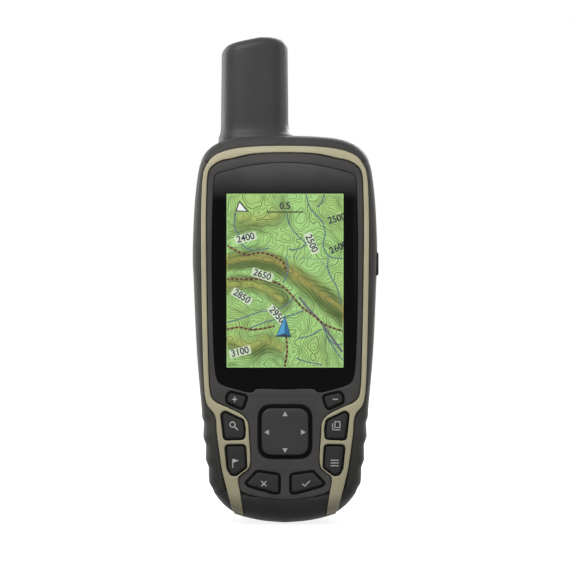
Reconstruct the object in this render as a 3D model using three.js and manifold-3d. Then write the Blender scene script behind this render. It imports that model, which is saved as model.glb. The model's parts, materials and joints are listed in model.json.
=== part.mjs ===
// A handheld satellite navigator with a stub antenna, in millimetres.
// It stands upright: +Z is up, the screen faces -Y and +X is to the right of a person facing the screen.
// The origin is below the middle of the body, on the level of its lowest point.
import * as THREE from 'three';
import { mergeVertices } from 'three/addons/utils/BufferGeometryUtils.js';
import Module from 'manifold-3d';

const wasm = await Module();
wasm.setup();

// ---- Driving dimensions ----

const bodyWidth = 61.2;
const bodyHeight = 127.8;
const bodyDepth = 33;
const frontRounding = 2.5;
const backRounding = 6;

const gripThickness = 3;
const gripBottom = 9;
const gripTop = 119;
const gripBack = 9;
const wall = 1.8;
const frontWall = 2;
const fit = 0.15;
const seatGap = 0.1;

const cellDiameter = 14.5;
const cellLength = 50.5;
const cellSpacing = 15.2;
const cellButtonDiameter = 5.5;
const cellButtonLength = 1.2;
const springLength = 3.6;
const springRadius = 3.2;
const springWire = 0.7;
const springTurns = 3;
const contactThickness = 0.4;
const bayBottom = 19;
const bayFloorThickness = 1.4;
const bayClearance = 0.4;

const doorThickness = 2.2;
const doorInset = 3.2;
const doorBottom = 5.5;
const doorMargin = 5.5;
const cellDoorGap = 0.3;
const doorSealWidth = 1.1;
const doorSealDepth = 0.8;

const latchHeight = 12;
const latchRadius = 5;
const latchShaftRadius = 2.2;
const latchWellDepth = 1;
const latchWellHalfWidth = 8.6;
const latchWellTop = 26.5;
const latchWellBottom = 6;
const tongueLength = 9;
const tongueWidth = 4.4;
const tongueThickness = 1.8;
const keeperThickness = 0.8;
const ringBar = 1;
const ringGap = 0.1;
const ringLength = 12.5;
const ringHalfWidth = 7;
const ringBand = 1.9;
const strapHalfWidth = 3;

const spineHalfWidth = 7;
const spineNeckHalfWidth = 4;
const spineHeadThickness = 2.2;
const spineRise = 1.5;
const spineLength = 26;

const antennaX = -10.1;
const antennaY = 1;
const antennaWidth = 22.6;
const antennaDepth = 20.8;
const antennaRise = 32.2;
const antennaCorner = 7;
const antennaWall = 1.8;
const antennaSink = 2.2;
const collarLeft = 0.8;
const collarRight = 3;
const formerRadius = 6;
const windingRod = 0.8;
const windingCount = 4;

const trimProud = 0.6;
const trimThickness = 1.6;
const trimFoot = 7.2;

const windowThickness = 1.1;
const glassHalfWidth = 23.8;
const glassBottom = 44.5;
const glassTopMargin = 9.7;
const lcdHalfWidth = 21;
const lcdBottom = 49.3;
const lcdTopMargin = 17.3;
const lcdThickness = 1.8;
const lcdBorder = 1.2;
const backlightThickness = 1.9;
const boardThickness = 1.6;

const keyProud = 0.7;
const keyGap = 0.35;
const keyLip = 0.6;
const keyLipThickness = 0.9;
const keyTravel = 0.8;
const sheetThickness = 1.8;

const rockerHeight = 30.7;
const rockerSize = 15.4;
const rockerCorner = 3.6;
const rockerProud = 1.5;
const rockerOpening = 17.6;
const hubRadius = 2.5;

const powerHeight = 85.2;
const powerTall = 7.8;
const powerTravel = 0.6;
const powerFrontMargin = 2.7;
const powerBackMargin = 2.2;
const powerFlange = 0.8;
const powerNotch = 7.4;

const portX = 16;
const portHeight = 101;
const portWidth = 8;
const portTall = 8;
const capWidth = 12;
const capTall = 16;
const capThickness = 1.9;
const capPlugDepth = 1.1;

const screwSeat = 6;
const screwHeadRadius = 2;
const screwShankRadius = 1.1;
const bossRadius = 2.4;
const boardScrewHeadRadius = 1.4;
const boardScrewShankRadius = 0.7;

const coaxRadius = 0.8;
const coaxHole = 3.4;
const cardHalfWidth = 5.7;
const cardBottom = 38.3;
const cardTop = 51.7;
const cardClearance = 0.3;
const receiverSize = 18;
const receiverThickness = 2.6;
const receiverTopMargin = 20;
const beeperX = -12;
const beeperHeight = 62;
const beeperRadius = 5;
const beeperThickness = 3;

// ---- Planes that follow from the driving dimensions ----

const front = -bodyDepth / 2;
const back = bodyDepth / 2;
const edge = bodyWidth / 2;
const top = bodyHeight;
const innerFront = front + frontWall;
const cavityInset = gripThickness + wall;
const doorInner = back - doorThickness;
const cellY = doorInner - cellDoorGap - cellDiameter / 2;
const bayFloor = cellY - cellDiameter / 2 - seatGap;
const parting = bayFloor - bayFloorThickness - 1;
const powerWide = parting - innerFront - powerFrontMargin - powerBackMargin;
const powerY = innerFront + powerFrontMargin + powerWide / 2;
const bayHalfWidth = (cellSpacing + cellDiameter) / 2 + bayClearance;
const bayTop = bayBottom + 2 * contactThickness + springLength + cellLength + 5 * seatGap;
const doorTop = bayTop + doorMargin;
const upperBack = back - 4.7;
const slopeTop = doorTop + 10;
const cavityBack = upperBack - 2;
const lcdFront = innerFront + seatGap;
const backlightFront = lcdFront + lcdThickness + seatGap;
const boardFront = backlightFront + backlightThickness + seatGap;
const boardBack = boardFront + boardThickness;
const sheetFront = boardFront - seatGap - sheetThickness;
const antennaBase = top - antennaSink;
const antennaTop = top + antennaRise;
const antennaLeft = antennaX - antennaWidth / 2;
const antennaRight = antennaX + antennaWidth / 2;
const spineBottom = slopeTop + 0.5;
const spineTop = spineBottom + spineLength;
const spineBack = back + spineRise;
const ringFront = back + ringGap;

const caseScrews = [[-14, 8.8], [14, 8.8], [-20.4, top - 10.4], [20.4, top - 10.4]];
const boardScrews = [[0, 46], [-12, top - 12.3], [12, top - 12.3]];

// ---- Outlines: lists of [x, z] pairs ----

function mirrored(points) {
  return points.map(([x, z]) => [-x, z]);
}

function smooth(points, perPoint) {
  const nodes = points.map(([x, z]) => new THREE.Vector3(x, z, 0));
  const curve = new THREE.CatmullRomCurve3(nodes, true, 'centripetal');
  const samples = curve.getPoints(points.length * perPoint);
  return samples.slice(0, -1).map(({ x, y }) => [x, y]);
}

function inset(points, distance) {
  const turn = THREE.ShapeUtils.area(points.map(([x, y]) => ({ x, y }))) > 0 ? 1 : -1;
  return points.map(([x, z], i) => {
    const before = points[(i + points.length - 1) % points.length];
    const after = points[(i + 1) % points.length];
    const alongX = after[0] - before[0];
    const alongZ = after[1] - before[1];
    const scale = (turn * distance) / Math.hypot(alongX, alongZ);
    return [x - alongZ * scale, z + alongX * scale];
  });
}

function roundedRectangle(width, height, radius, centreX, centreZ) {
  const points = [];
  for (const [quarter, sideX, sideZ] of [[0, 1, 1], [1, -1, 1], [2, -1, -1], [3, 1, -1]]) {
    for (let step = 0; step <= 4; step += 1) {
      const angle = ((quarter + step / 4) * Math.PI) / 2;
      points.push([
        centreX + sideX * (width / 2 - radius) + radius * Math.cos(angle),
        centreZ + sideZ * (height / 2 - radius) + radius * Math.sin(angle),
      ]);
    }
  }
  return points;
}

// Right half of the body seen from the front, from the foot to the crown.
const bodySide = [
  [8, 0.7], [edge - 14.8, 2.8], [edge - 9.5, 6.8], [edge - 6.2, 12.1], [edge - 4.5, 22],
  [edge - 3.3, 34], [edge - 1.4, 56], [edge - 0.3, 80], [edge, 88],
  [edge - 0.5, top - 25], [edge - 1.1, top - 17.8], [edge - 2.2, top - 10.6],
  [edge - 3.8, top - 6.4], [edge - 7, top - 3.3], [edge - 13, top - 1],
];
const bodyOutline = smooth([[0, 0], ...bodySide, [0, top], ...mirrored(bodySide).reverse()], 2);

// The body seen from the side, as [y, z] pairs.
const bodyProfile = [
  [-9, 0], [9, 0], [back - 2, 3], [back, 8], [back, doorTop + 1.5], [upperBack, slopeTop],
  [upperBack, top - 5], [upperBack - 2.5, top], [front + 4, top], [front + 1, top - 1.2],
  [front, top - 4], [front, 7], [front + 2.5, 2.5],
];

// Half outlines of the trim frame, from the crown down to the end of the leg.
const trimOuter = [
  [10.1, top - 4.4], [18.2, top - 5.5], [22.2, top - 7], [24.2, top - 8.5], [25.3, top - 10.1],
  [26.3, top - 12.2], [26.8, top - 15], [27.2, top - 22.4], [27.3, 89.7], [26.4, 47.5],
  [25.8, 41], [24.2, 37.8], [22.6, 35.4], [22.2, 30.7], [21.5, 25.2], [20.5, 18.4], [18.4, 10.3],
  [17.4, trimFoot],
];
const trimInner = [
  [14.1, trimFoot], [14.8, 11.3], [15.2, 15.6], [14.3, 16.9], [12.4, 18.5], [11.6, 20.6],
  [12.1, 30.7], [12.6, 34.5], [13.9, 35.8], [18.8, 38.4], [23.4, 41], [24.2, 42.3], [24.7, 47.5],
  [25.6, 89.7], [25.5, top - 20.7], [25, top - 13.3], [24.2, top - 11.5], [22.5, top - 10],
  [20.2, top - 8.9], [17.6, top - 8.4], [10.1, top - 6.8],
];
const trimOutline = [
  ...mirrored(trimOuter).reverse(), ...trimOuter, ...trimInner, ...mirrored(trimInner).reverse(),
];

const glassSide = [
  [9.8, glassBottom - 0.1], [11.3, glassBottom - 1.1], [15, glassBottom - 0.1],
  [21.2, glassBottom + 1.9], [glassHalfWidth - 1.5, glassBottom + 4], [glassHalfWidth - 0.9, 54],
  [glassHalfWidth, 80], [glassHalfWidth - 0.3, top - 22.4], [glassHalfWidth - 0.8, top - 15],
  [glassHalfWidth - 1.8, top - 13.4], [18.2, top - 12.3], [10.9, top - 10.6],
];
const glassOutline = [...glassSide, [0, top - glassTopMargin], ...mirrored(glassSide).reverse()];

// Right-hand keys of each pair; the left-hand ones are their mirror images.
const zoomKey = smooth([[19.3, 41.9], [18.4, 43.8], [12.6, 42.5], [11.7, 41.2], [13.4, 37.8], [19.1, 40.5]], 2);
const upperKey = smooth(
  [[20.7, 35.8], [19.1, 37.4], [15, 35.2], [13.4, 32.7], [13.1, 29.2], [16.2, 28.2], [20, 28.7], [20.5, 32.7]], 2);
const lowerKey = smooth(
  [[19.4, 25.3], [16.2, 26.7], [12.9, 26], [12.4, 20.6], [15.4, 16.9], [17.8, 17], [18.9, 20.6]], 2);
const footKey = smooth(
  [[12.6, 13.6], [9.2, 17.8], [3.2, 17.2], [1.7, 15.6], [2.1, 11.2], [5, 10.7], [11.4, 12.5]], 2);
const keys = [
  ['key_in', mirrored(zoomKey)], ['key_out', zoomKey],
  ['key_find', mirrored(upperKey)], ['key_page', upperKey],
  ['key_mark', mirrored(lowerKey)], ['key_menu', lowerKey],
  ['key_quit', mirrored(footKey)], ['key_enter', footKey],
];

// ---- Solids ----

function solid(geometry) {
  geometry.deleteAttribute('normal');
  geometry.deleteAttribute('uv');
  const merged = mergeVertices(geometry, 1e-4);
  return new wasm.Manifold(new wasm.Mesh({
    numProp: 3,
    vertProperties: new Float32Array(merged.attributes.position.array),
    triVerts: new Uint32Array(merged.index.array),
  }));
}

function extruded(points, depth, bevel) {
  const shape = new THREE.Shape(points.map(([x, y]) => new THREE.Vector2(x, y)));
  const settings = { depth: depth - 2 * bevel, bevelEnabled: bevel > 0 };
  Object.assign(settings, { bevelThickness: bevel, bevelSize: bevel, bevelOffset: -bevel, bevelSegments: 2 });
  return new THREE.ExtrudeGeometry(shape, settings).translate(0, 0, bevel);
}

// An [x, z] outline between two planes across Y.
function panel(points, yFrom, yTo, bevel = 0) {
  return solid(extruded(points, yTo - yFrom, bevel).rotateX(Math.PI / 2).translate(0, yTo, 0));
}

// An [x, y] outline between two levels.
function slab(points, zFrom, zTo) {
  return solid(extruded(points, zTo - zFrom, 0).translate(0, 0, zFrom));
}

// A [y, z] outline between two planes across X.
function rail(points, xFrom, xTo) {
  const geometry = extruded(points, xTo - xFrom, 0);
  return solid(geometry.rotateX(Math.PI / 2).rotateZ(Math.PI / 2).translate(xFrom, 0, 0));
}

function box(xFrom, xTo, yFrom, yTo, zFrom, zTo) {
  const geometry = new THREE.BoxGeometry(xTo - xFrom, yTo - yFrom, zTo - zFrom);
  return solid(geometry.translate((xFrom + xTo) / 2, (yFrom + yTo) / 2, (zFrom + zTo) / 2));
}

function rod(radius, yFrom, yTo, x, z, sides = 16) {
  const geometry = new THREE.CylinderGeometry(radius, radius, yTo - yFrom, sides);
  return solid(geometry.translate(x, (yFrom + yTo) / 2, z));
}

function turned(profile, sides) {
  return new THREE.LatheGeometry(profile.map(([r, y]) => new THREE.Vector2(r, y)), sides);
}

function tube(points, radius, sides, steps) {
  const path = new THREE.CatmullRomCurve3(points.map((point) => new THREE.Vector3(...point)));
  const section = new THREE.Shape();
  for (let side = 0; side < sides; side += 1) {
    const angle = (2 * Math.PI * side) / sides;
    const move = side === 0 ? 'moveTo' : 'lineTo';
    section[move](radius * Math.cos(angle), radius * Math.sin(angle));
  }
  return solid(new THREE.ExtrudeGeometry(section, { steps, extrudePath: path }));
}

const far = 200;
const group = new THREE.Group();

function addPart(name, body, colour, roughness, metalness = 0) {
  const { vertProperties, triVerts } = body.getMesh();
  const geometry = new THREE.BufferGeometry();
  geometry.setAttribute('position', new THREE.BufferAttribute(vertProperties, 3));
  geometry.setIndex(new THREE.BufferAttribute(triVerts, 1));
  geometry.computeVertexNormals();
  const material = new THREE.MeshStandardMaterial({ color: colour, roughness, metalness });
  const mesh = new THREE.Mesh(geometry, material);
  mesh.name = name;
  group.add(mesh);
}

// ---- Body ----

const outerBody = panel(bodyOutline, front, back + far, frontRounding)
  .intersect(panel(bodyOutline, front - far, back, backRounding))
  .intersect(rail(bodyProfile, -far, far));
const gripZone = box(-far, far, front - far, gripBack + fit, gripBottom - fit, gripTop + fit);
const gripLayer = outerBody.subtract(panel(inset(bodyOutline, gripThickness - fit), -far, far));
const housingBody = outerBody.subtract(
  gripZone.subtract(panel(inset(bodyOutline, gripThickness), -far, far)));

function antennaShape(clearance) {
  const width = antennaWidth + collarLeft + collarRight;
  const middle = antennaX + (collarRight - collarLeft) / 2;
  return roundedRectangle(width + 2 * clearance, antennaDepth + 2 * clearance, antennaCorner, middle, antennaY);
}

function antennaRecess() {
  const cablePlan = roundedRectangle(coaxHole, coaxHole, coaxHole / 2 - 0.1, antennaX, antennaY);
  const cableHole = slab(cablePlan, top - cavityInset - 1, top);
  return slab(antennaShape(fit), antennaBase - seatGap, antennaTop).add(cableHole);
}

function powerHole() {
  return box(edge - cavityInset - 3, edge + 2, powerY - powerWide / 2 - 0.3, powerY + powerWide / 2 + 0.3,
    powerHeight - powerTall / 2 - 0.3, powerHeight + powerTall / 2 + 0.3);
}

function frontHousing() {
  let body = housingBody.intersect(box(-far, far, -far, parting, -far, far));
  body = body.subtract(panel(inset(bodyOutline, cavityInset), innerFront, far));
  for (const [x, z] of caseScrews) {
    body = body.add(rod(bossRadius, innerFront - 0.5, parting, x, z));
    body = body.subtract(rod(screwShankRadius + fit, innerFront + 1.4, far, x, z, 16));
  }
  for (const [x, z] of boardScrews) {
    body = body.add(rod(boardScrewShankRadius + 1.2, innerFront - 0.5, boardFront - seatGap, x, z, 16));
    body = body.subtract(rod(boardScrewShankRadius + fit, innerFront + 0.8, far, x, z, 12));
  }
  body = body.subtract(panel(inset(trimOutline, -fit), -far, front + trimThickness - trimProud + seatGap));
  body = body.subtract(panel(inset(glassOutline, -fit), -far, front + windowThickness + 2 * seatGap));
  body = body.subtract(box(lcdBorder - lcdHalfWidth, lcdHalfWidth - lcdBorder, -far, innerFront + 0.5,
    lcdBottom + lcdBorder, top - lcdTopMargin - lcdBorder));
  for (const [, outline] of keys) {
    body = body.subtract(panel(inset(outline, -keyGap), -far, innerFront + 0.5));
  }
  const opening = roundedRectangle(rockerOpening, rockerOpening, 4.6, 0, rockerHeight);
  body = body.subtract(panel(opening, -far, innerFront + 0.5));
  const groove = panel(inset(bodyOutline, gripThickness + 0.5), parting - 1, far)
    .subtract(panel(inset(bodyOutline, cavityInset - 0.5), -far, far));
  return body.subtract(groove).subtract(antennaRecess()).subtract(powerHole());
}

function housingGasket() {
  const ring = panel(inset(bodyOutline, gripThickness + 0.6), parting - 0.9, parting)
    .subtract(panel(inset(bodyOutline, cavityInset - 0.6), -far, far));
  return ring.subtract(antennaRecess());
}

function doorPlan(clearance, yFrom) {
  return panel(inset(bodyOutline, doorInset - clearance), yFrom, far)
    .intersect(box(-far, far, -far, far, doorBottom - clearance, doorTop + clearance));
}

function doorSealRing(clearance) {
  const outline = (margin) => roundedRectangle(2 * bayHalfWidth + 2 * margin, bayTop - bayBottom + 2 * margin,
    1.5 + margin, 0, (bayTop + bayBottom) / 2);
  const outer = panel(outline(1 + doorSealWidth + clearance), doorInner - doorSealDepth - clearance, doorInner);
  return outer.subtract(panel(outline(1 - clearance), -far, far));
}

function latchPocket() {
  const halfWidth = latchWellHalfWidth - 0.4;
  return box(-halfWidth, halfWidth, doorInner - 8.3, far, latchHeight - 5.6, latchHeight + 5.6);
}

function portBlock(margin, yFrom, yTo) {
  return box(portX - portWidth / 2 - margin, portX + portWidth / 2 + margin, yFrom, yTo,
    portHeight - portTall / 2 - margin, portHeight + portTall / 2 + margin);
}

function spine() {
  const neck = box(-spineNeckHalfWidth, spineNeckHalfWidth, cavityBack + 1, spineBack, spineBottom, spineTop);
  const head = panel(roundedRectangle(2 * spineHalfWidth, spineLength, 3, 0, (spineBottom + spineTop) / 2),
    spineBack - spineHeadThickness, spineBack);
  return neck.add(head);
}

function rearHousing() {
  let body = housingBody.intersect(box(-far, far, parting, far, -far, far));
  const cavity = panel(inset(bodyOutline, cavityInset), -far, cavityBack);
  body = body.subtract(cavity.intersect(box(-far, far, -far, far, doorTop + 2, far)));
  body = body.subtract(cavity.intersect(box(-far, far, -far, bayFloor - bayFloorThickness, -far, far)));
  body = body.add(portBlock(1.6, cavityBack - 4, cavityBack + 0.5));
  for (const [x, z] of caseScrews) {
    const post = rod(screwHeadRadius + 1.1, parting, cavityBack + 0.5, x, z);
    body = body.add(post.intersect(outerBody));
    body = body.subtract(rod(screwShankRadius + fit, -far, far, x, z, 16));
    body = body.subtract(rod(screwHeadRadius + fit, screwSeat, far, x, z));
  }
  body = body.subtract(box(-bayHalfWidth, bayHalfWidth, bayFloor, far, bayBottom, bayTop));
  body = body.subtract(doorPlan(fit, doorInner - seatGap)).subtract(latchPocket());
  body = body.subtract(doorSealRing(fit)).subtract(antennaRecess());
  body = body.subtract(box(-cardHalfWidth - cardClearance, cardHalfWidth + cardClearance, -far, bayFloor + 1,
    cardBottom - cardClearance, cardTop + cardClearance));
  body = body.subtract(portBlock(0, cavityBack - 5, far));
  return body.add(spine()).subtract(powerHole());
}

function grip(side) {
  const half = side > 0 ? box(8, far, -far, far, -far, far) : box(-far, -8, -far, far, -far, far);
  const zone = box(-far, far, -far, gripBack, gripBottom, gripTop);
  const layer = gripLayer.intersect(half).intersect(zone);
  return layer.subtract(panel(inset(trimOutline, -fit), -far, front + trimThickness)).subtract(powerHole());
}

function trimFrame() {
  let body = panel(trimOutline, front - trimProud, front - trimProud + trimThickness);
  for (const [, outline] of keys) {
    body = body.subtract(panel(inset(outline, -keyGap), -far, far));
  }
  return body;
}

// ---- Antenna ----

function antennaCover() {
  const sideLean = 0.5;
  const profile = [
    [antennaLeft, antennaBase], [antennaRight, antennaBase], [antennaRight - sideLean, antennaTop - 3.5],
    [antennaRight - 1.2, antennaTop - 1.1], [antennaRight - 3, antennaTop], [antennaX, antennaTop - 0.8],
    [antennaLeft + 2.2, antennaTop - 2.1], [antennaLeft + 1, antennaTop - 2.9], [antennaLeft + sideLean, antennaTop - 5],
  ];
  const frontY = antennaY - antennaDepth / 2;
  const backY = antennaY + antennaDepth / 2;
  const sideProfile = [
    [frontY, antennaBase], [backY, antennaBase], [backY - 1, antennaTop - 4], [backY - 3, antennaTop - 1],
    [backY - 6, antennaTop + 1], [frontY + 6, antennaTop + 1], [frontY + 3, antennaTop - 1],
    [frontY + 1, antennaTop - 4],
  ];
  const plan = roundedRectangle(antennaWidth, antennaDepth, antennaCorner, antennaX, antennaY);
  const shaft = slab(plan, antennaBase, antennaTop + 2)
    .intersect(panel(profile, -far, far)).intersect(rail(sideProfile, -far, far));
  const flare = [
    [antennaLeft - collarLeft, antennaBase], [antennaRight + collarRight, antennaBase],
    [antennaRight + collarRight, top + 0.3], [antennaRight + 0.8, top + 1.8], [antennaRight - 0.2, top + 4.4],
    [antennaLeft + 0.2, top + 4.4], [antennaLeft - collarLeft, top + 0.6],
  ];
  const collar = slab(antennaShape(0), antennaBase, top + 6).intersect(panel(flare, -far, far));
  const hollow = roundedRectangle(antennaWidth - 2 * antennaWall, antennaDepth - 2 * antennaWall,
    antennaCorner - antennaWall, antennaX, antennaY);
  return shaft.add(collar).subtract(slab(hollow, antennaBase - 1, antennaTop - 7));
}

function antennaFormer() {
  const bottom = antennaBase;
  const topEnd = antennaTop - 8.5;
  const profile = [
    [formerRadius - 1, bottom], [formerRadius, bottom], [formerRadius, topEnd], [formerRadius - 1, topEnd],
    [formerRadius - 1, bottom],
  ];
  return solid(turned(profile, 20).rotateX(Math.PI / 2).translate(antennaX, antennaY, 0));
}

function antennaWinding(index) {
  const radius = formerRadius + windingRod / 2 + 0.3;
  const lower = antennaBase + 2.5;
  const rise = antennaTop - 11 - lower;
  const points = [];
  for (let step = 0; step <= 12; step += 1) {
    const angle = (2 * Math.PI * index) / windingCount + (Math.PI * step) / 12;
    points.push([
      antennaX + radius * Math.cos(angle), antennaY + radius * Math.sin(angle), lower + (rise * step) / 12,
    ]);
  }
  return tube(points, windingRod / 2, 5, 14);
}

function antennaCoax() {
  const restY = boardBack + 1;
  const route = [
    [antennaX, antennaY, antennaBase + 5], [antennaX, antennaY, antennaBase - 3],
    [antennaX, antennaY - 3.5, top - 10.3], [antennaX, restY + 0.4, top - 13.5], [antennaX, restY, top - 18.5],
  ];
  return tube(route, coaxRadius, 8, 12);
}

// ---- Display, board and keys ----

function mainBoard() {
  let body = panel(inset(bodyOutline, cavityInset + 0.5), boardFront, boardBack);
  for (const [x, z] of caseScrews) {
    body = body.subtract(rod(bossRadius + 0.4, -far, far, x, z));
  }
  for (const [x, z] of boardScrews) {
    body = body.subtract(rod(boardScrewShankRadius + fit, -far, far, x, z, 12));
  }
  const notchHalf = powerTall / 2 + 2.1;
  return body.subtract(box(edge - powerNotch, far, -far, far, powerHeight - notchHalf, powerHeight + notchHalf));
}

function keypadSheet() {
  let body = panel(inset(bodyOutline, cavityInset + 0.6), sheetFront, sheetFront + sheetThickness);
  body = body.intersect(box(-far, far, -far, far, -far, lcdBottom - 5));
  for (const [x, z] of [...caseScrews, ...boardScrews]) {
    body = body.subtract(rod(bossRadius + 0.4, -far, far, x, z));
  }
  return body;
}

function key(outline) {
  const cap = panel(outline, front - keyProud, innerFront + 0.5, 0.4);
  const lip = panel(inset(outline, -keyLip), innerFront + 2 * seatGap, innerFront + 2 * seatGap + keyLipThickness);
  return cap.add(lip);
}

function rockerCap() {
  const outline = roundedRectangle(rockerSize, rockerSize, rockerCorner, 0, rockerHeight);
  return panel(outline, front - rockerProud, sheetFront - 1.9, 0.7);
}

function rockerHub() {
  return rod(hubRadius, sheetFront - 1.75, sheetFront - 0.25, 0, rockerHeight);
}

function powerKey() {
  const stem = box(edge - cavityInset - 1, edge, powerY - powerWide / 2, powerY + powerWide / 2,
    powerHeight - powerTall / 2, powerHeight + powerTall / 2);
  const halfWide = powerWide / 2 + powerFlange;
  const halfTall = powerTall / 2 + powerFlange;
  const flange = box(edge - cavityInset - 1.2, edge - cavityInset - 0.3, powerY - halfWide, powerY + halfWide,
    powerHeight - halfTall, powerHeight + halfTall);
  return stem.add(flange);
}

function powerSwitch() {
  const face = edge - cavityInset - 1.2 - powerTravel - 0.25;
  return box(face - 2.4, face, boardBack, boardBack + 2.6, powerHeight - 2.5, powerHeight + 2.5);
}

// ---- Power and back ----

function cell(side) {
  const radius = cellDiameter / 2;
  const shoulder = cellLength - cellButtonLength;
  const profile = [
    [0, 0], [radius, 0], [radius, shoulder], [cellButtonDiameter / 2, shoulder],
    [cellButtonDiameter / 2, cellLength], [0, cellLength],
  ];
  const geometry = turned(profile, 28).translate(0, -cellLength / 2, 0).rotateX((side * Math.PI) / 2);
  const springEnd = contactThickness + springLength + 3 * seatGap;
  const buttonEnd = contactThickness + 2 * seatGap;
  const bottomEnd = side > 0 ? springEnd : buttonEnd;
  return solid(geometry.translate((side * cellSpacing) / 2, cellY, bayBottom + bottomEnd + cellLength / 2));
}

function batterySpring(side) {
  const start = side > 0 ? bayBottom + contactThickness + 2 * seatGap : bayTop - contactThickness - 2 * seatGap;
  const rise = side * (springLength - springWire);
  const points = [];
  const perTurn = 10;
  for (let step = 0; step <= springTurns * perTurn; step += 1) {
    const share = step / (springTurns * perTurn);
    const angle = 2 * Math.PI * springTurns * share;
    points.push([
      (side * cellSpacing) / 2 + springRadius * Math.cos(angle), cellY + springRadius * Math.sin(angle),
      start + (side * springWire) / 2 + rise * share,
    ]);
  }
  return tube(points, springWire / 2, 5, springTurns * perTurn);
}

function contactPlate(zFrom) {
  return box(0.8 - bayHalfWidth, bayHalfWidth - 0.8, bayFloor + 1, cellY + 4, zFrom, zFrom + contactThickness);
}

function batteryDoor() {
  let body = outerBody.intersect(doorPlan(0, doorInner));
  const well = roundedRectangle(2 * latchWellHalfWidth, latchWellTop - latchWellBottom, 3, 0,
    (latchWellTop + latchWellBottom) / 2);
  body = body.subtract(panel(well, back - latchWellDepth, far));
  return body.subtract(rod(latchRadius + fit + 0.1, -far, far, 0, latchHeight, 28));
}

function latchCam() {
  const face = back - latchWellDepth + 0.1;
  const discBack = face - 1.2;
  const tongueFront = doorInner - 5.1;
  const disc = rod(latchRadius, discBack, face, 0, latchHeight, 28);
  const shaft = rod(latchShaftRadius, tongueFront, discBack + 0.1, 0, latchHeight);
  const tongue = box(-tongueLength / 2, tongueLength / 2, tongueFront, tongueFront + tongueThickness,
    latchHeight - tongueWidth / 2, latchHeight + tongueWidth / 2);
  const strap = box(-strapHalfWidth, strapHalfWidth, face - 0.2, back + spineRise, latchHeight - 1.5, latchHeight + 1.5);
  const tunnel = box(-far, far, ringFront - 0.15, ringFront + ringBar + 0.1, latchHeight - 0.8, latchHeight + 0.8);
  return disc.add(shaft).add(tongue).add(strap.subtract(tunnel));
}

function latchKeeper() {
  const halfWidth = latchWellHalfWidth - 0.5;
  const behindTongue = doorInner - 5.1 + tongueThickness + 0.4;
  const plate = box(-halfWidth, halfWidth, behindTongue, behindTongue + keeperThickness,
    latchHeight - 5.5, latchHeight + 5.5);
  return plate.subtract(box(-tongueWidth / 2 - 0.4, tongueWidth / 2 + 0.4, -far, far,
    latchHeight - tongueLength / 2 - 0.3, latchHeight + tongueLength / 2 + 0.3));
}

function dRing() {
  const barY = ringFront + ringBar / 2;
  const outline = roundedRectangle(2 * ringHalfWidth, 2 * ringLength, ringHalfWidth - 0.5, 0, latchHeight);
  const hole = roundedRectangle(2 * (ringHalfWidth - ringBand), 2 * (ringLength - ringBand),
    ringHalfWidth - ringBand - 0.5, 0, latchHeight);
  const loop = panel(outline, barY - ringBar / 2, barY + ringBar / 2).subtract(panel(hole, -far, far))
    .intersect(box(-far, far, -far, far, latchHeight, far));
  const pin = new THREE.CylinderGeometry(ringBar / 2, ringBar / 2, 2 * ringHalfWidth, 16);
  return loop.add(solid(pin.rotateZ(Math.PI / 2).translate(0, barY, latchHeight)));
}

function weatherCap() {
  const flap = panel(roundedRectangle(capWidth, capTall, 2.5, portX, portHeight),
    upperBack + seatGap, upperBack + seatGap + capThickness, 0.5);
  const plug = box(portX - portWidth / 2 + 0.8, portX + portWidth / 2 - 0.8, upperBack - capPlugDepth,
    upperBack + 0.8, portHeight - portTall / 2 + 0.9, portHeight + portTall / 2 - 0.9);
  return flap.add(plug);
}

function usbConnector() {
  const shell = box(portX - portWidth / 2 + fit, portX + portWidth / 2 - fit, cavityBack - 5, cavityBack - 0.4,
    portHeight - portTall / 2 + fit, portHeight + portTall / 2 - fit);
  return shell.subtract(box(portX - 2.9, portX + 2.9, cavityBack - 4, far, portHeight - 1.4, portHeight + 1.4));
}

function microSdSocket() {
  const cardFront = bayFloor - bayFloorThickness - 0.4;
  return box(-cardHalfWidth, cardHalfWidth, cardFront, bayFloor - seatGap, cardBottom, cardTop);
}

function gpsReceiver() {
  const receiverTop = top - receiverTopMargin;
  return box(antennaX - receiverSize / 2, antennaX + receiverSize / 2, boardBack, boardBack + receiverThickness,
    receiverTop - receiverSize, receiverTop);
}

function screw(shankRadius, headRadius, tip, seat, headHeight, x, z) {
  const profile = [
    [0, tip], [shankRadius, tip], [shankRadius, seat], [headRadius, seat], [headRadius, seat + headHeight],
    [0, seat + headHeight],
  ];
  return solid(turned(profile, 16).translate(x, 0, z));
}

// ---- Assembly ----

const darkPlastic = 0x3a3a3a;
const rubber = 0x4a4a44;
const khaki = 0xa89f84;
const steel = 0xb8b8b8;

addPart('front_housing', frontHousing(), darkPlastic, 0.55);
addPart('rear_housing', rearHousing(), darkPlastic, 0.55);
addPart('trim_frame', trimFrame(), khaki, 0.45);
addPart('left_grip', grip(-1), rubber, 0.8);
addPart('right_grip', grip(1), rubber, 0.8);
addPart('housing_gasket', housingGasket(), 0x222222, 0.9);

addPart('antenna_cover', antennaCover(), 0x4c4c4c, 0.55);
addPart('antenna_former', antennaFormer(), 0xe6e2d8, 0.6);
for (let index = 0; index < windingCount; index += 1) {
  addPart(`antenna_winding_${index + 1}`, antennaWinding(index), 0xb87333, 0.35, 1);
}
addPart('antenna_coax', antennaCoax(), 0x8a6a3a, 0.5);

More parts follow.
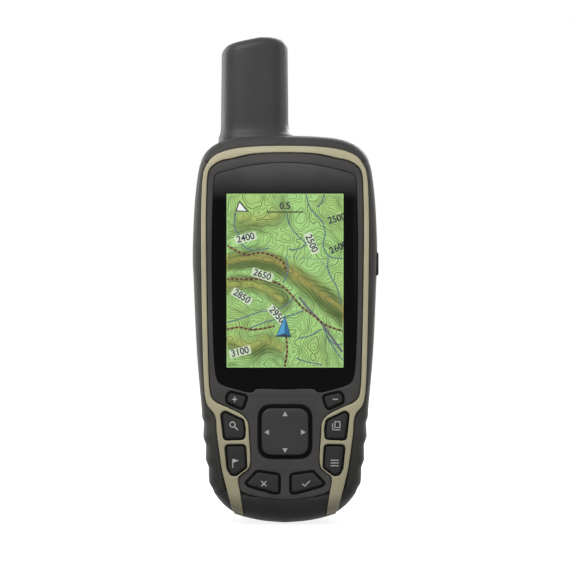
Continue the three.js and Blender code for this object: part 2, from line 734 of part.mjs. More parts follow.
addPart('display_window', panel(glassOutline, front + seatGap, front + seatGap + windowThickness), 0x0a0a0a, 0.1);
addPart('lcd_panel', box(-lcdHalfWidth, lcdHalfWidth, lcdFront, lcdFront + lcdThickness, lcdBottom, top - lcdTopMargin),
  0x9cc86a, 0.3);
addPart('lcd_backlight', box(1 - lcdHalfWidth, lcdHalfWidth - 1, backlightFront, backlightFront + backlightThickness,
  lcdBottom + 1, top - lcdTopMargin - 1), 0xf2f2f2, 0.5);
addPart('main_board', mainBoard(), 0x1f5a32, 0.6);
addPart('keypad_sheet', keypadSheet(), 0x2c2c2c, 0.85);
for (const [name, outline] of keys) {
  addPart(name, key(outline), 0x333333, 0.7);
}
addPart('rocker_hub', rockerHub(), 0x2c2c2c, 0.7);
addPart('rocker_cap', rockerCap(), 0x404040, 0.6);
addPart('power_key', powerKey(), 0x2a2a2a, 0.8);
addPart('power_switch', powerSwitch(), steel, 0.4, 0.8);

addPart('battery_1', cell(-1), 0x8c8f94, 0.4, 0.3);
addPart('battery_2', cell(1), 0x8c8f94, 0.4, 0.3);
addPart('battery_spring_1', batterySpring(-1), steel, 0.3, 1);
addPart('battery_spring_2', batterySpring(1), steel, 0.3, 1);
addPart('contact_plate_bottom', contactPlate(bayBottom + seatGap), steel, 0.35, 1);
addPart('contact_plate_top', contactPlate(bayTop - seatGap - contactThickness), steel, 0.35, 1);

addPart('battery_door', batteryDoor(), 0x353535, 0.6);
addPart('door_gasket', doorSealRing(0), 0x1c1c1c, 0.9);
addPart('latch_cam', latchCam(), 0x9a9a9a, 0.35, 0.9);
addPart('latch_keeper', latchKeeper(), steel, 0.35, 1);
addPart('d_ring', dRing(), steel, 0.3, 1);

addPart('weather_cap', weatherCap(), 0x262626, 0.85);
addPart('usb_connector', usbConnector(), steel, 0.35, 0.9);
addPart('microsd_socket', microSdSocket(), steel, 0.35, 0.9);
addPart('gps_receiver', gpsReceiver(), steel, 0.4, 0.9);
addPart('beeper', rod(beeperRadius, boardBack, boardBack + beeperThickness, beeperX, beeperHeight, 24), 0x1a1a1a, 0.5);

caseScrews.forEach(([x, z], index) => {
  const body = screw(screwShankRadius, screwHeadRadius, innerFront + 1.8, screwSeat + seatGap, 1.6, x, z);
  addPart(`case_screw_${index + 1}`, body, steel, 0.35, 1);
});
boardScrews.forEach(([x, z], index) => {
  const body = screw(boardScrewShankRadius, boardScrewHeadRadius, innerFront + 1.2, boardBack + seatGap, 0.9, x, z);
  addPart(`board_screw_${index + 1}`, body, steel, 0.35, 1);
});

export default group;
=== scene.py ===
"""Looks of a handheld satellite navigator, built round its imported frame. Sizes are in millimetres."""

import json
import math

import bmesh
import bpy
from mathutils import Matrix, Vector, noise
from mathutils.bvhtree import BVHTree


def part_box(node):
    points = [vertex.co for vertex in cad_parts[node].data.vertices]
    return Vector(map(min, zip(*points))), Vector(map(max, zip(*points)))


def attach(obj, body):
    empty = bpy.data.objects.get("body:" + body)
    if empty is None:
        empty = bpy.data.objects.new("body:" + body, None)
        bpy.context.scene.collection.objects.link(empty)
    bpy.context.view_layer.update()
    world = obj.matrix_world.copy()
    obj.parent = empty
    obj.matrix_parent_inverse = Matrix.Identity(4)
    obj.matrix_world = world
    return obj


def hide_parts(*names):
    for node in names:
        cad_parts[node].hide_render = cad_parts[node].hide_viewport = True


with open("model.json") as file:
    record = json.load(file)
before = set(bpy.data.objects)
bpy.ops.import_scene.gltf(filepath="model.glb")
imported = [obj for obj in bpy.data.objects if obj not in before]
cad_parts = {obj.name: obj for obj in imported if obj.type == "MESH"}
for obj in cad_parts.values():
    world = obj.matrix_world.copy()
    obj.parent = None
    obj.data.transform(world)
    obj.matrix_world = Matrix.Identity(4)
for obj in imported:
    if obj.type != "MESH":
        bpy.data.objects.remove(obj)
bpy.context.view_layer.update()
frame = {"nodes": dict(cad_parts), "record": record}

MM = 0.001
VIEW_CENTRE_HEIGHT = 0.0783
CAMERA_DISTANCE = 0.66
FRAMED_WIDTH = 0.1896

# ---- Planes of the body, taken from the frame ----

glass_low, glass_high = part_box("display_window")
body_low, body_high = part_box("rear_housing")
trim_low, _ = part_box("trim_frame")
antenna_low, antenna_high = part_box("antenna_cover")
_, door_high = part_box("battery_door")
FRONT = round((trim_low.y / MM) + 0.6, 2)
BACK = round(door_high.y / MM, 2)
EDGE = body_high.x / MM
TOP = body_high.z / MM
PARTING = round(body_low.y / MM, 2)
UPPER_BACK = BACK - 4.7
DOOR_TOP = door_high.z / MM


def make_camera():
    data = bpy.data.cameras.new("camera")
    data.sensor_width = 36
    data.lens = data.sensor_width * CAMERA_DISTANCE / FRAMED_WIDTH
    camera = bpy.data.objects.new("camera", data)
    camera.location = (0, -CAMERA_DISTANCE, VIEW_CENTRE_HEIGHT)
    camera.rotation_euler = (math.pi / 2, 0, 0)
    bpy.context.collection.objects.link(camera)
    bpy.context.scene.camera = camera


make_camera()

# ---- Outlines: right halves, as (x, z) from the foot to the crown unless a line says otherwise ----

BODY_SIDE = [
    (8, 0.7), (EDGE - 14.8, 2.8), (EDGE - 9.5, 6.8), (EDGE - 6.2, 12.1), (EDGE - 4.5, 22),
    (EDGE - 3.3, 34), (EDGE - 1.4, 56), (EDGE - 0.3, 80), (EDGE, 88), (EDGE - 0.5, TOP - 25),
    (EDGE - 1.1, TOP - 17.8), (EDGE - 2.2, TOP - 10.6), (EDGE - 3.8, TOP - 6.4), (EDGE - 7, TOP - 3.3),
    (EDGE - 13, TOP - 1),
]
RIM_SIDE = [
    (6.8, 9.1), (13.4, 10.6), (18.9, 11.6), (20.5, 18.4), (21.5, 25.2), (22.2, 30.7), (22.6, 35.2),
    (24.2, 37.8), (25.8, 41), (26.4, 47.5), (27.3, 89.7), (27.2, TOP - 22.4), (26.8, TOP - 15),
    (26.3, TOP - 12.2), (25.3, TOP - 10.1), (24.2, TOP - 8.5), (22.2, TOP - 7), (18.2, TOP - 5.5),
    (10.1, TOP - 4.4),
]
TRIM_OUTER = [
    (10.1, TOP - 4.5), (18.2, TOP - 5.6), (22.2, TOP - 7.1), (24.1, TOP - 8.6), (25.2, TOP - 10.2),
    (26.2, TOP - 12.3), (26.7, TOP - 15.1), (27.1, TOP - 22.5), (27.2, 89.7), (26.3, 47.5), (25.7, 41.2),
    (24.8, 38.8), (23.2, 36.9), (22.4, 34.9), (22.1, 30.7), (21.4, 25.2), (20.4, 18.4), (18.4, 10.3),
    (17.4, 6.3), (16.6, 3.4),
]
TRIM_INNER = [
    (13.4, 2.5), (13.9, 6.4), (14.6, 11.3), (15.2, 14.4), (15.0, 16.0), (13.9, 17.2), (12.0, 18.6),
    (11.3, 20.6), (11.7, 29.5), (12.0, 33.4), (12.8, 35), (14.4, 36.4), (18.8, 38.6), (22.6, 40.4),
    (23.9, 41.9), (24.5, 44.5), (24.8, 49.5), (25.6, 89.7), (25.5, TOP - 20.7), (25, TOP - 13.3),
    (24.2, TOP - 11.5), (22.5, TOP - 10), (20.2, TOP - 8.9), (17.6, TOP - 8.4), (10.1, TOP - 6.8),
]
PLATE_SIDE = [
    (6.8, 9.3), (13.2, 10.8), (14.35, 11.6), (15.0, 14.4), (14.8, 15.8), (13.8, 17.0), (11.8, 18.4),
    (11.1, 20.6), (11.5, 29.5), (11.8, 33.4), (12.6, 35.2), (14.3, 36.6), (18.7, 38.8), (22.4, 40.6),
    (23.7, 42), (24.3, 44.5), (24.6, 49.5), (25.4, 89.7), (25.3, TOP - 20.7), (24.8, TOP - 13.4),
    (24.0, TOP - 11.7), (22.3, TOP - 10.2), (20.1, TOP - 9.1), (17.5, TOP - 8.6), (10.1, TOP - 7),
]
GLASS_BOTTOM = 44.5
GLASS_SIDE = [
    (9.6, GLASS_BOTTOM), (10.4, GLASS_BOTTOM - 0.8), (11.5, GLASS_BOTTOM - 1.0),
    (15, GLASS_BOTTOM - 0.2), (20.2, GLASS_BOTTOM + 1.4), (21.4, GLASS_BOTTOM + 2.2),
    (22.1, GLASS_BOTTOM + 3.6), (22.7, GLASS_BOTTOM + 7), (23.6, 80), (23.35, TOP - 22.4),
    (22.9, TOP - 15.1), (22.5, TOP - 14), (21.6, TOP - 13.3), (18.2, TOP - 12.3), (10.9, TOP - 10.7),
]
ZOOM_KEY = [(17.9, 44.0), (11.8, 42.5), (13.5, 37.5), (19.2, 39.9), (19.2, 42.4)]
UPPER_KEY = [(20.9, 36.4), (19.6, 37.6), (13.3, 34.6), (12.8, 31.5), (13.0, 28.2), (19.9, 27.9)]
LOWER_KEY = [(19.6, 26.5), (12.7, 26.6), (12.3, 19.0), (15.8, 16.4), (17.6, 16.5), (18.8, 18.7)]
FOOT_KEY = [(13.2, 14.0), (9.2, 18.2), (1.5, 17.1), (1.6, 10.5), (3.6, 10.5), (11.9, 12.8)]
KEY_CORNER = 1.4
KEYS = {
    "find": (UPPER_KEY, -1), "page": (UPPER_KEY, 1), "mark": (LOWER_KEY, -1), "menu": (LOWER_KEY, 1),
    "in": (ZOOM_KEY, -1), "out": (ZOOM_KEY, 1), "quit": (FOOT_KEY, -1), "enter": (FOOT_KEY, 1),
}
ROCKER_CENTRE = 30.75
ROCKER_OPENING = 17.6
ROCKER_SIZE = 15.2
ROCKER_ARROW = [(5.2, -0.85), (6.7, 0.0), (5.2, 0.85)]


def mirrored(points):
    return [(-x, z) for x, z in points]


def whole(side, foot, crown):
    """A closed outline from a right half that runs from the foot to the crown."""
    return [foot, *side, crown, *reversed(mirrored(side))]


def blend(a, b, low, high, t):
    """The point that t gives between a and b, on a scale from low to high."""
    return a * ((high - t) / (high - low)) + b * ((t - low) / (high - low))


def smooth(points, per_point=6, closed=True):
    """A centripetal Catmull-Rom curve through the points."""
    count = len(points)
    result = []
    spans = count if closed else count - 1
    for i in range(spans):
        if closed:
            p = [Vector(points[(i + k) % count]) for k in (-1, 0, 1, 2)]
        else:
            p = [Vector(points[min(max(i + k, 0), count - 1)]) for k in (-1, 0, 1, 2)]
        knots = [0.0]
        for a, b in zip(p, p[1:]):
            knots.append(knots[-1] + max((b - a).length, 1e-4) ** 0.5)
        for step in range(per_point):
            t = knots[1] + (knots[2] - knots[1]) * step / per_point
            first = [blend(p[j], p[j + 1], knots[j], knots[j + 1], t) for j in range(3)]
            second = [blend(first[j], first[j + 1], knots[j], knots[j + 2], t) for j in range(2)]
            result.append(tuple(blend(second[0], second[1], knots[1], knots[2], t)))
    if not closed:
        result.append(tuple(points[-1]))
    return result


def rounded(points, radius, steps=5):
    """A polygon with its corners rounded."""
    result = []
    count = len(points)
    for i, corner in enumerate(points):
        here = Vector(corner)
        before = Vector(points[i - 1]) - here
        after = Vector(points[(i + 1) % count]) - here
        half = before.angle(after) / 2
        reach = min(radius / math.tan(half), before.length * 0.48, after.length * 0.48)
        start = here + before.normalized() * reach
        end = here + after.normalized() * reach
        for step in range(steps + 1):
            t = step / steps
            point = start * (1 - t) ** 2 + here * 2 * t * (1 - t) + end * t * t
            result.append(tuple(point))
    return result


def rounded_box(width, height, radius, x, z, steps=7):
    corners = [(x - width / 2, z - height / 2), (x + width / 2, z - height / 2),
               (x + width / 2, z + height / 2), (x - width / 2, z + height / 2)]
    return rounded(corners, radius, steps)


def resample(points, count):
    """count + 1 points at even steps along an open line."""
    lengths = [0.0]
    for a, b in zip(points, points[1:]):
        lengths.append(lengths[-1] + math.dist(a, b))
    result = []
    span = 0
    for i in range(count + 1):
        target = lengths[-1] * i / count
        while span < len(points) - 2 and lengths[span + 1] < target:
            span += 1
        t = (target - lengths[span]) / max(lengths[span + 1] - lengths[span], 1e-9)
        a, b = points[span], points[span + 1]
        result.append((a[0] + (b[0] - a[0]) * t, a[1] + (b[1] - a[1]) * t))
    return result


def area(points):
    return sum(a[0] * b[1] - b[0] * a[1] for a, b in zip(points, points[1:] + points[:1])) / 2


def inset(points, distance):
    turn = 1 if area(points) > 0 else -1
    result = []
    for i, (x, z) in enumerate(points):
        before, after = points[i - 1], points[(i + 1) % len(points)]
        dx, dz = after[0] - before[0], after[1] - before[1]
        scale = turn * distance / math.hypot(dx, dz)
        result.append((x - dz * scale, z + dx * scale))
    return result


def evened(points, step):
    """The same closed outline with its points at even steps."""
    closed = points + points[:1]
    length = sum(math.dist(a, b) for a, b in zip(closed, closed[1:]))
    return resample(closed, round(length / step))[:-1]


def smoothstep(low, high, value):
    t = min(max((value - low) / (high - low), 0), 1)
    return t * t * (3 - 2 * t)


# ---- Meshes ----

def finish_mesh(name, mesh, body, material, replaced=(), sharp_angle=35):
    mesh.materials.append(material)
    for polygon in mesh.polygons:
        polygon.use_smooth = True
    mesh.set_sharp_from_angle(angle=math.radians(sharp_angle))
    item = bpy.data.objects.new(name, mesh)
    bpy.context.collection.objects.link(item)
    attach(item, body)
    if replaced:
        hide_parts(*replaced)
    return item


def new_mesh(name, vertices, faces):
    mesh = bpy.data.meshes.new(name)
    mesh.from_pydata([Vector(v) * MM for v in vertices], [], faces)
    tidy_normals(mesh)
    return mesh


def tidy_normals(mesh, merge=1e-7):
    work = bmesh.new()
    work.from_mesh(mesh)
    bmesh.ops.remove_doubles(work, verts=work.verts, dist=merge)
    bmesh.ops.dissolve_degenerate(work, edges=work.edges, dist=1e-8)
    bmesh.ops.recalc_face_normals(work, faces=work.faces)
    work.to_mesh(mesh)
    work.free()


def loft(rings, cap_first=True, cap_last=True):
    """Vertices and faces of a skin through rings of equal length, each a list of (x, y, z)."""
    count = len(rings[0])
    vertices = [point for ring in rings for point in ring]
    faces = []
    for r in range(len(rings) - 1):
        for i in range(count):
            j = (i + 1) % count
            faces.append((r * count + i, r * count + j, (r + 1) * count + j, (r + 1) * count + i))
    if cap_first:
        faces.append(tuple(range(count))[::-1])
    if cap_last:
        last = (len(rings) - 1) * count
        faces.append(tuple(range(last, last + count)))
    return vertices, faces


def plate_mesh(name, outline, holes, y_front, y_back, bevel=0.0, bevel_back=False):
    """A flat plate with holes, its edges rounded on the front."""
    curve = bpy.data.curves.new(name, "CURVE")
    curve.dimensions = "2D"
    curve.fill_mode = "BOTH"
    for points in [outline, *holes]:
        spline = curve.splines.new("POLY")
        spline.points.add(len(points) - 1)
        for point, (x, z) in zip(spline.points, points):
            point.co = (x * MM, z * MM, 0, 1)
        spline.use_cyclic_u = True
    curve.extrude = max((y_back - y_front) / 2 - bevel, 0) * MM
    curve.bevel_depth = bevel * MM
    curve.bevel_resolution = 2
    curve.offset = -bevel * MM
    item = bpy.data.objects.new(name, curve)
    bpy.context.collection.objects.link(item)
    bpy.context.view_layer.update()
    evaluated = item.evaluated_get(bpy.context.evaluated_depsgraph_get())
    mesh = bpy.data.meshes.new_from_object(evaluated)
    bpy.data.objects.remove(item)
    bpy.data.curves.remove(curve)
    middle = (y_front + y_back) / 2 * MM
    for vertex in mesh.vertices:
        x, z, depth = vertex.co
        vertex.co = (x, middle - depth, z)
    mesh.materials.clear()
    tidy_normals(mesh, 1e-6)
    return mesh


def domed(outline, y_base, y_edge, crown, soft=0.35, dish=0.0):
    """A key cap: straight sides, a soft shoulder and a crowned or dished face."""
    outline = evened(outline, 0.5)
    cx = (max(p[0] for p in outline) + min(p[0] for p in outline)) / 2
    cz = (max(p[1] for p in outline) + min(p[1] for p in outline)) / 2
    rings = [[(x, y_base, z) for x, z in outline], [(x, y_edge + soft, z) for x, z in outline]]
    for step in range(1, 5):
        turn = step / 4 * math.pi / 2
        ring = inset(outline, soft * (1 - math.cos(turn)))
        rings.append([(x, y_edge + soft * (1 - math.sin(turn)), z) for x, z in ring])
    shoulder = inset(outline, soft)
    for step in range(1, 9):
        share = 1 - step / 8
        lift = crown * (1 - share * share) - dish * (1 - share * share) ** 2
        ring = [(cx + (x - cx) * share, y_edge - lift, cz + (z - cz) * share) for x, z in shoulder]
        rings.append(ring)
    return loft(rings, True, False)


# ---- Materials ----

def tone(red, green, blue):
    """A colour given as 0 to 255 display values, as Blender's linear values."""
    return tuple(
        c / 255 / 12.92 if c / 255 <= 0.04045 else ((c / 255 + 0.055) / 1.055) ** 2.4
        for c in (red, green, blue)
    ) + (1,)


def scaled(colour, share):
    return tuple(c * share for c in colour[:3]) + (1,)


class Nodes:
    """A short way to build one material's node tree."""

    def __init__(self, name):
        self.material = bpy.data.materials.new(name)
        self.material.use_nodes = True
        self.tree = self.material.node_tree
        self.shader = self.tree.nodes["Principled BSDF"]
        self.place = self.add("ShaderNodeTexCoord").outputs["Object"]

    def add(self, kind, **settings):
        node = self.tree.nodes.new(kind)
        for key, value in settings.items():
            setattr(node, key, value)
        return node

    def link(self, source, target):
        self.tree.links.new(source, target)

    def value(self, operation, first, second=None, third=None):
        node = self.add("ShaderNodeMath", operation=operation)
        for socket, given in zip(node.inputs, (first, second, third)):
            if given is None:
                continue
            if isinstance(given, (int, float)):
                socket.default_value = given
            else:
                self.link(given, socket)
        return node.outputs[0]

    def noise(self, scale, detail=3, roughness=0.5, distortion=0.0, place=None):
        node = self.add("ShaderNodeTexNoise")
        node.inputs["Scale"].default_value = scale
        node.inputs["Detail"].default_value = detail
        node.inputs["Roughness"].default_value = roughness
        node.inputs["Distortion"].default_value = distortion
        self.link(place or self.place, node.inputs["Vector"])
        return node.outputs["Fac"]

    def ramp(self, factor, stops):
        node = self.add("ShaderNodeValToRGB")
        elements = node.color_ramp.elements
        while len(elements) < len(stops):
            elements.new(0.5)
        for element, (position, colour) in zip(elements, stops):
            element.position = position
            element.color = colour
        self.link(factor, node.inputs["Fac"])
        return node.outputs["Color"]

    def mix(self, factor, first, second, blend_type="MIX"):
        node = self.add("ShaderNodeMix", data_type="RGBA", blend_type=blend_type)
        colours = [socket for socket in node.inputs if socket.type == "RGBA"]
        for socket, given in zip((node.inputs["Factor"], *colours), (factor, first, second)):
            if isinstance(given, (int, float, tuple)):
                socket.default_value = given
            else:
                self.link(given, socket)
        return next(socket for socket in node.outputs if socket.type == "RGBA")

    def roughen(self, source, low, high):
        """Roughness that varies between two values."""
        rough = self.add("ShaderNodeMapRange")
        rough.inputs["To Min"].default_value = low
        rough.inputs["To Max"].default_value = high
        self.link(source, rough.inputs["Value"])
        self.link(rough.outputs["Result"], self.shader.inputs["Roughness"])

    def bump(self, height, strength, distance, below=None):
        node = self.add("ShaderNodeBump")
        node.inputs["Strength"].default_value = strength
        node.inputs["Distance"].default_value = distance
        self.link(height, node.inputs["Height"])
        if below is not None:
            self.link(below, node.inputs["Normal"])
        return node.outputs["Normal"]


def moulded(name, colour, roughness, grain=2600, depth=0.00003, spread=0.12, dust=0.06, shine=0.14,
            foot_shade=0.0):
    """Moulded plastic or rubber: a fine spark-eroded grain, faint mottling, paler rubbed edges and, with foot_shade,
    painted shade towards the foot.
    """
    n = Nodes(name)
    n.shader.inputs["Specular IOR Level"].default_value = shine
    base = tone(*colour)
    dark = scaled(base, 1 - spread)
    pale = scaled(base, 1 + spread)
    mottled = n.ramp(n.noise(55, 4, 0.6), [(0.3, dark), (0.7, pale)])
    edge = n.add("ShaderNodeNewGeometry").outputs["Pointiness"]
    rubbed = n.value("MULTIPLY", n.value("SUBTRACT", edge, 0.52), 6)
    rubbed = n.value("MULTIPLY", n.value("MINIMUM", n.value("MAXIMUM", rubbed, 0.0), 1.0), dust * 4)
    worn = tuple(min(c * 1.9 + 0.01, 1) for c in base[:3]) + (1,)
    finish = n.mix(rubbed, mottled, worn)
    # Painted shade: the colour darkens towards the bottom, as if the lower part stood in shade.
    if foot_shade:
        place = n.add("ShaderNodeSeparateXYZ")
        n.link(n.place, place.inputs[0])
        height = n.add("ShaderNodeMapRange", interpolation_type="SMOOTHSTEP")
        height.inputs["From Min"].default_value = -0.004
        height.inputs["From Max"].default_value = 0.055
        height.inputs["To Min"].default_value = foot_shade
        height.inputs["To Max"].default_value = 0
        n.link(place.outputs["Z"], height.inputs["Value"])
        finish = n.mix(height.outputs["Result"], finish, tone(14, 14, 13))
    n.link(finish, n.shader.inputs["Base Color"])
    n.roughen(n.noise(180, 3, 0.6), roughness - 0.06, roughness + 0.06)
    cells = n.add("ShaderNodeTexVoronoi")
    cells.inputs["Scale"].default_value = grain
    n.link(n.place, cells.inputs["Vector"])
    n.link(n.bump(cells.outputs["Distance"], 0.35, depth), n.shader.inputs["Normal"])
    return n.material


def plated(name, colour, roughness, grain=900):
    """Bare or plated metal with a fine brushed grain and handling marks."""
    n = Nodes(name)
    base = tone(*colour)
    dull = scaled(base, 0.78)
    n.link(n.ramp(n.noise(120, 4, 0.65), [(0.35, dull), (0.65, base)]), n.shader.inputs["Base Color"])
    n.shader.inputs["Metallic"].default_value = 1
    stretched = n.add("ShaderNodeMapping")
    stretched.inputs["Scale"].default_value = (1, 1, 0.08)
    n.link(n.place, stretched.inputs["Vector"])
    streaks = n.noise(grain, 2, 0.5, 0, stretched.outputs["Vector"])
    n.roughen(streaks, roughness - 0.08, roughness + 0.1)
    n.link(n.bump(streaks, 0.25, 0.00002), n.shader.inputs["Normal"])
    return n.material


def window_black_painted_reflection():
    """The display's printed border under clear gloss: black, with a painted reflection that turns it greyer towards
    the crown.
    """
    n = Nodes("window_black_painted_reflection")
    # Painted reflection of the overhead light: the black turns grey towards the crown, blotched by noise.
    height = n.add("ShaderNodeSeparateXYZ")
    n.link(n.place, height.inputs[0])
    share = n.add("ShaderNodeMapRange")
    share.inputs["From Min"].default_value = 0.106
    share.inputs["From Max"].default_value = 0.119
    n.link(height.outputs["Z"], share.inputs["Value"])
    painted_reflection = n.value("MULTIPLY", share.outputs["Result"], n.value("ADD", n.noise(60, 3), 0.6))
    n.link(n.ramp(painted_reflection, [(0.0, tone(4, 6, 5)), (1.0, tone(82, 83, 81))]), n.shader.inputs["Base Color"])
    n.shader.inputs["Specular IOR Level"].default_value = 0.05
    n.roughen(n.noise(40, 5, 0.7), 0.05, 0.14)
    return n.material


def map_face():
    """The lit display: the relief's own colours, with a faint pixel mottling."""
    n = Nodes("map_face")
    relief = n.add("ShaderNodeVertexColor", layer_name="relief").outputs["Color"]
    speckle = n.ramp(n.noise(1500, 2), [(0.3, (0.9, 0.9, 0.9, 1)), (0.7, (1, 1, 1, 1))])
    ground = n.mix(1.0, relief, speckle, "MULTIPLY")
    n.link(ground, n.shader.inputs["Base Color"])
    n.link(ground, n.shader.inputs["Emission Color"])
    n.shader.inputs["Emission Strength"].default_value = 0.2
    n.shader.inputs["Roughness"].default_value = 0.3
    n.shader.inputs["Specular IOR Level"].default_value = 0.15
    return n.material


def ink(name, colour, glow=0.2):
    """Printed or displayed marks; a faint mottling keeps them from looking flat."""
    n = Nodes(name)
    base = tone(*colour)
    soft = scaled(base, 0.88)
    shade = n.ramp(n.noise(700, 2), [(0.3, soft), (0.7, base)])
    n.link(shade, n.shader.inputs["Base Color"])
    n.shader.inputs["Roughness"].default_value = 0.5
    if glow:
        n.link(shade, n.shader.inputs["Emission Color"])
        n.shader.inputs["Emission Strength"].default_value = glow
    return n.material


# The shell, trim and grips take painted shade towards the foot through foot_shade.
SHELL = moulded("shell_plastic", (60, 59, 58), 0.5, foot_shade=0.6)
PLATE = moulded("plate_plastic", (66, 65, 64), 0.46)
ANTENNA = moulded("antenna_plastic", (54, 54, 54), 0.42, shine=0.2)
KHAKI = moulded("khaki_plastic", (178, 171, 142), 0.4, 3200, 0.00002, 0.06, 0.03, 0.2, 0.3)
GRIP = moulded("grip_rubber", (68, 67, 64), 0.62, 1900, 0.00005, foot_shade=0.75)
SEAL = moulded("seal_rubber", (34, 34, 34), 0.75, 1900, 0.00005)
RIM_RUBBER = moulded("rim_rubber", (10, 10, 10), 0.8, 1900, 0.00003, 0.2, 0.0, 0.08)
KEY = moulded("key_rubber", (48, 48, 47), 0.6, 2400, 0.00003)
ROCKER = moulded("rocker_plastic", (58, 58, 58), 0.42, 3000, 0.00002)
PALE = moulded("pale_plastic", (226, 222, 212), 0.5)
BLACK = moulded("black_plastic", (28, 28, 28), 0.45)
BOARD = moulded("board_green", (34, 92, 52), 0.35, 900, 0.00003, 0.25)
JACKET = moulded("coax_jacket", (140, 104, 60), 0.4)
WRAP = moulded("cell_wrap", (120, 124, 130), 0.32, 3200, 0.00001, 0.08)
STEEL = plated("steel", (196, 196, 192), 0.3)
COPPER = plated("copper", (196, 124, 72), 0.28)
WINDOW = window_black_painted_reflection()
MAP = map_face()
LEGEND = ink("legend_ink", (172, 172, 170), 0)
NODE_MATERIALS = {
    "dark_plastic": SHELL, "khaki_plastic": KHAKI, "grip_rubber": GRIP, "seal_rubber": SEAL, "key_rubber": KEY,
    "rocker_plastic": ROCKER, "antenna_plastic": ANTENNA, "pale_plastic": PALE, "black_plastic": BLACK,
    "coax_jacket": JACKET, "window_glass": WINDOW, "lcd_face": MAP, "board_green": BOARD, "copper": COPPER,
    "steel": STEEL, "cell_wrap": WRAP,
}


def dress_cad_nodes():
    for part in frame["record"]["subparts"]:
        item = frame["nodes"][part["node"]]
        material = NODE_MATERIALS[part["material_slot"]]
        for material_slot in item.material_slots:
            material_slot.link = "OBJECT"
            material_slot.material = material
        for polygon in item.data.polygons:
            polygon.use_smooth = False


# ---- Body ----

FOOT_STEPS, SIDE_STEPS, CROWN_STEPS = 26, 150, 34


def split_at(points, test):
    """Index of the first point that passes the test."""
    return next(i for i, point in enumerate(points) if test(point))


def matched_outline(side, foot, crown, foot_height, crown_height):
    """A closed outline whose points pair up with those of any other outline made here."""
    half = smooth([foot, *side, crown], 8, closed=False)
    low = split_at(half, lambda p: p[1] > foot_height and p[0] > 10)
    high = split_at(half, lambda p: p[1] > crown_height)
    right = resample(half[: low + 1], FOOT_STEPS)[:-1]
    right += resample(half[low : high + 1], SIDE_STEPS)[:-1]
    right += resample(half[high:], CROWN_STEPS)
    return right + list(reversed(mirrored(right[1:-1])))


BODY = matched_outline(BODY_SIDE, (0, 0), (0, TOP), 8, TOP - 7)
RIM = matched_outline(RIM_SIDE, (0, 8.7), (0, TOP - 4.2), 11.6, TOP - 8.5)
GRIP_LOW, GRIP_HIGH, GRIP_BACK = 9.0, 119.0, 9.0
GRIP_DEPTH = 0.7


def back_depth(z):
    return BACK + (UPPER_BACK - BACK) * smoothstep(DOOR_TOP + 0.8, DOOR_TOP + 11, z)


def front_radius(z):
    return 5 + 4 * (1 - smoothstep(6, 20, z))


def back_radius(z):
    return 6 - 2.2 * smoothstep(DOOR_TOP, DOOR_TOP + 11, z) + 2 * (1 - smoothstep(3, 12, z))


def under_grip(z):
    """1 where a side grip covers the housing."""
    inside = smoothstep(GRIP_LOW + 0.3, GRIP_LOW + 0.9, z)
    return inside * (1 - smoothstep(GRIP_HIGH - 0.9, GRIP_HIGH - 0.3, z))


def outward_normals(points):
    result = []
    for i in range(len(points)):
        before, after = points[i - 1], points[(i + 1) % len(points)]
        dx, dz = after[0] - before[0], after[1] - before[1]
        length = math.hypot(dx, dz)
        result.append((dz / length, -dx / length))
    return result


OUTWARD = outward_normals(BODY)


def barrel(y):
    """How far the body draws in, away from its widest plane."""
    return 0.7 * (y / 11.5) ** 2 if y < 0 else 0.35 * (y / 9) ** 2


def crown_fall(z):
    """How far the front leans back near the crown."""
    return 0.8 * smoothstep(TOP - 12.5, TOP - 4, z)


def edge_depth(bz, rz, turn):
    """Depth of the front edge's rounding, which starts at the rim at a turn of 0."""
    fall = crown_fall(rz)
    return FRONT + 0.1 + fall + (front_radius(bz) - fall) * (1 - math.cos(turn))


def rounding_ring(turn, sunk):
    """A ring of the front edge: turn runs from 0 at the rim to a quarter turn at the widest outline."""
    ring = []
    share = math.sin(turn)
    for (bx, bz), (rx, rz), (nx, nz) in zip(BODY, RIM, OUTWARD):
        depth = sunk * under_grip(rz + (bz - rz) * share)
        side = math.copysign(1, bx) if abs(bx) > 10 else 0
        y = edge_depth(bz, rz, turn)
        drawn = barrel(FRONT + 0.1 + front_radius(bz))
        x = rx + (bx - nx * drawn - rx) * share - side * depth * share
        ring.append((x, y + depth * (1 - share), rz + (bz - nz * drawn - rz) * share))
    return ring


def straight_ring(y, sunk, groove=0.0):
    outline = inset(BODY, groove + barrel(y))
    ring = []
    for (x, z), (bx, bz) in zip(outline, BODY):
        side = math.copysign(1, bx) if abs(bx) > 10 else 0
        ring.append((x - side * sunk * under_grip(bz), y, z))
    return ring


def front_shell():
    seat = inset(RIM, 0.1)
    rings = [[(x, FRONT + 1.3, z) for x, z in inset(RIM, 0.15)], [(x, FRONT + 0.25, z) for x, z in seat]]
    rings += [rounding_ring(math.pi / 2 * step / 12, GRIP_DEPTH) for step in range(13)]
    for y in (-9.0, -7.0, -5.0, PARTING - 0.35):
        rings.append(straight_ring(y, GRIP_DEPTH))
    rings.append(straight_ring(PARTING - 0.2, GRIP_DEPTH, 0.22))
    vertices, faces = loft(rings)
    mesh = new_mesh("front_shell", vertices, faces)
    return finish_mesh("front_shell", mesh, "body", SHELL, ["front_housing"])


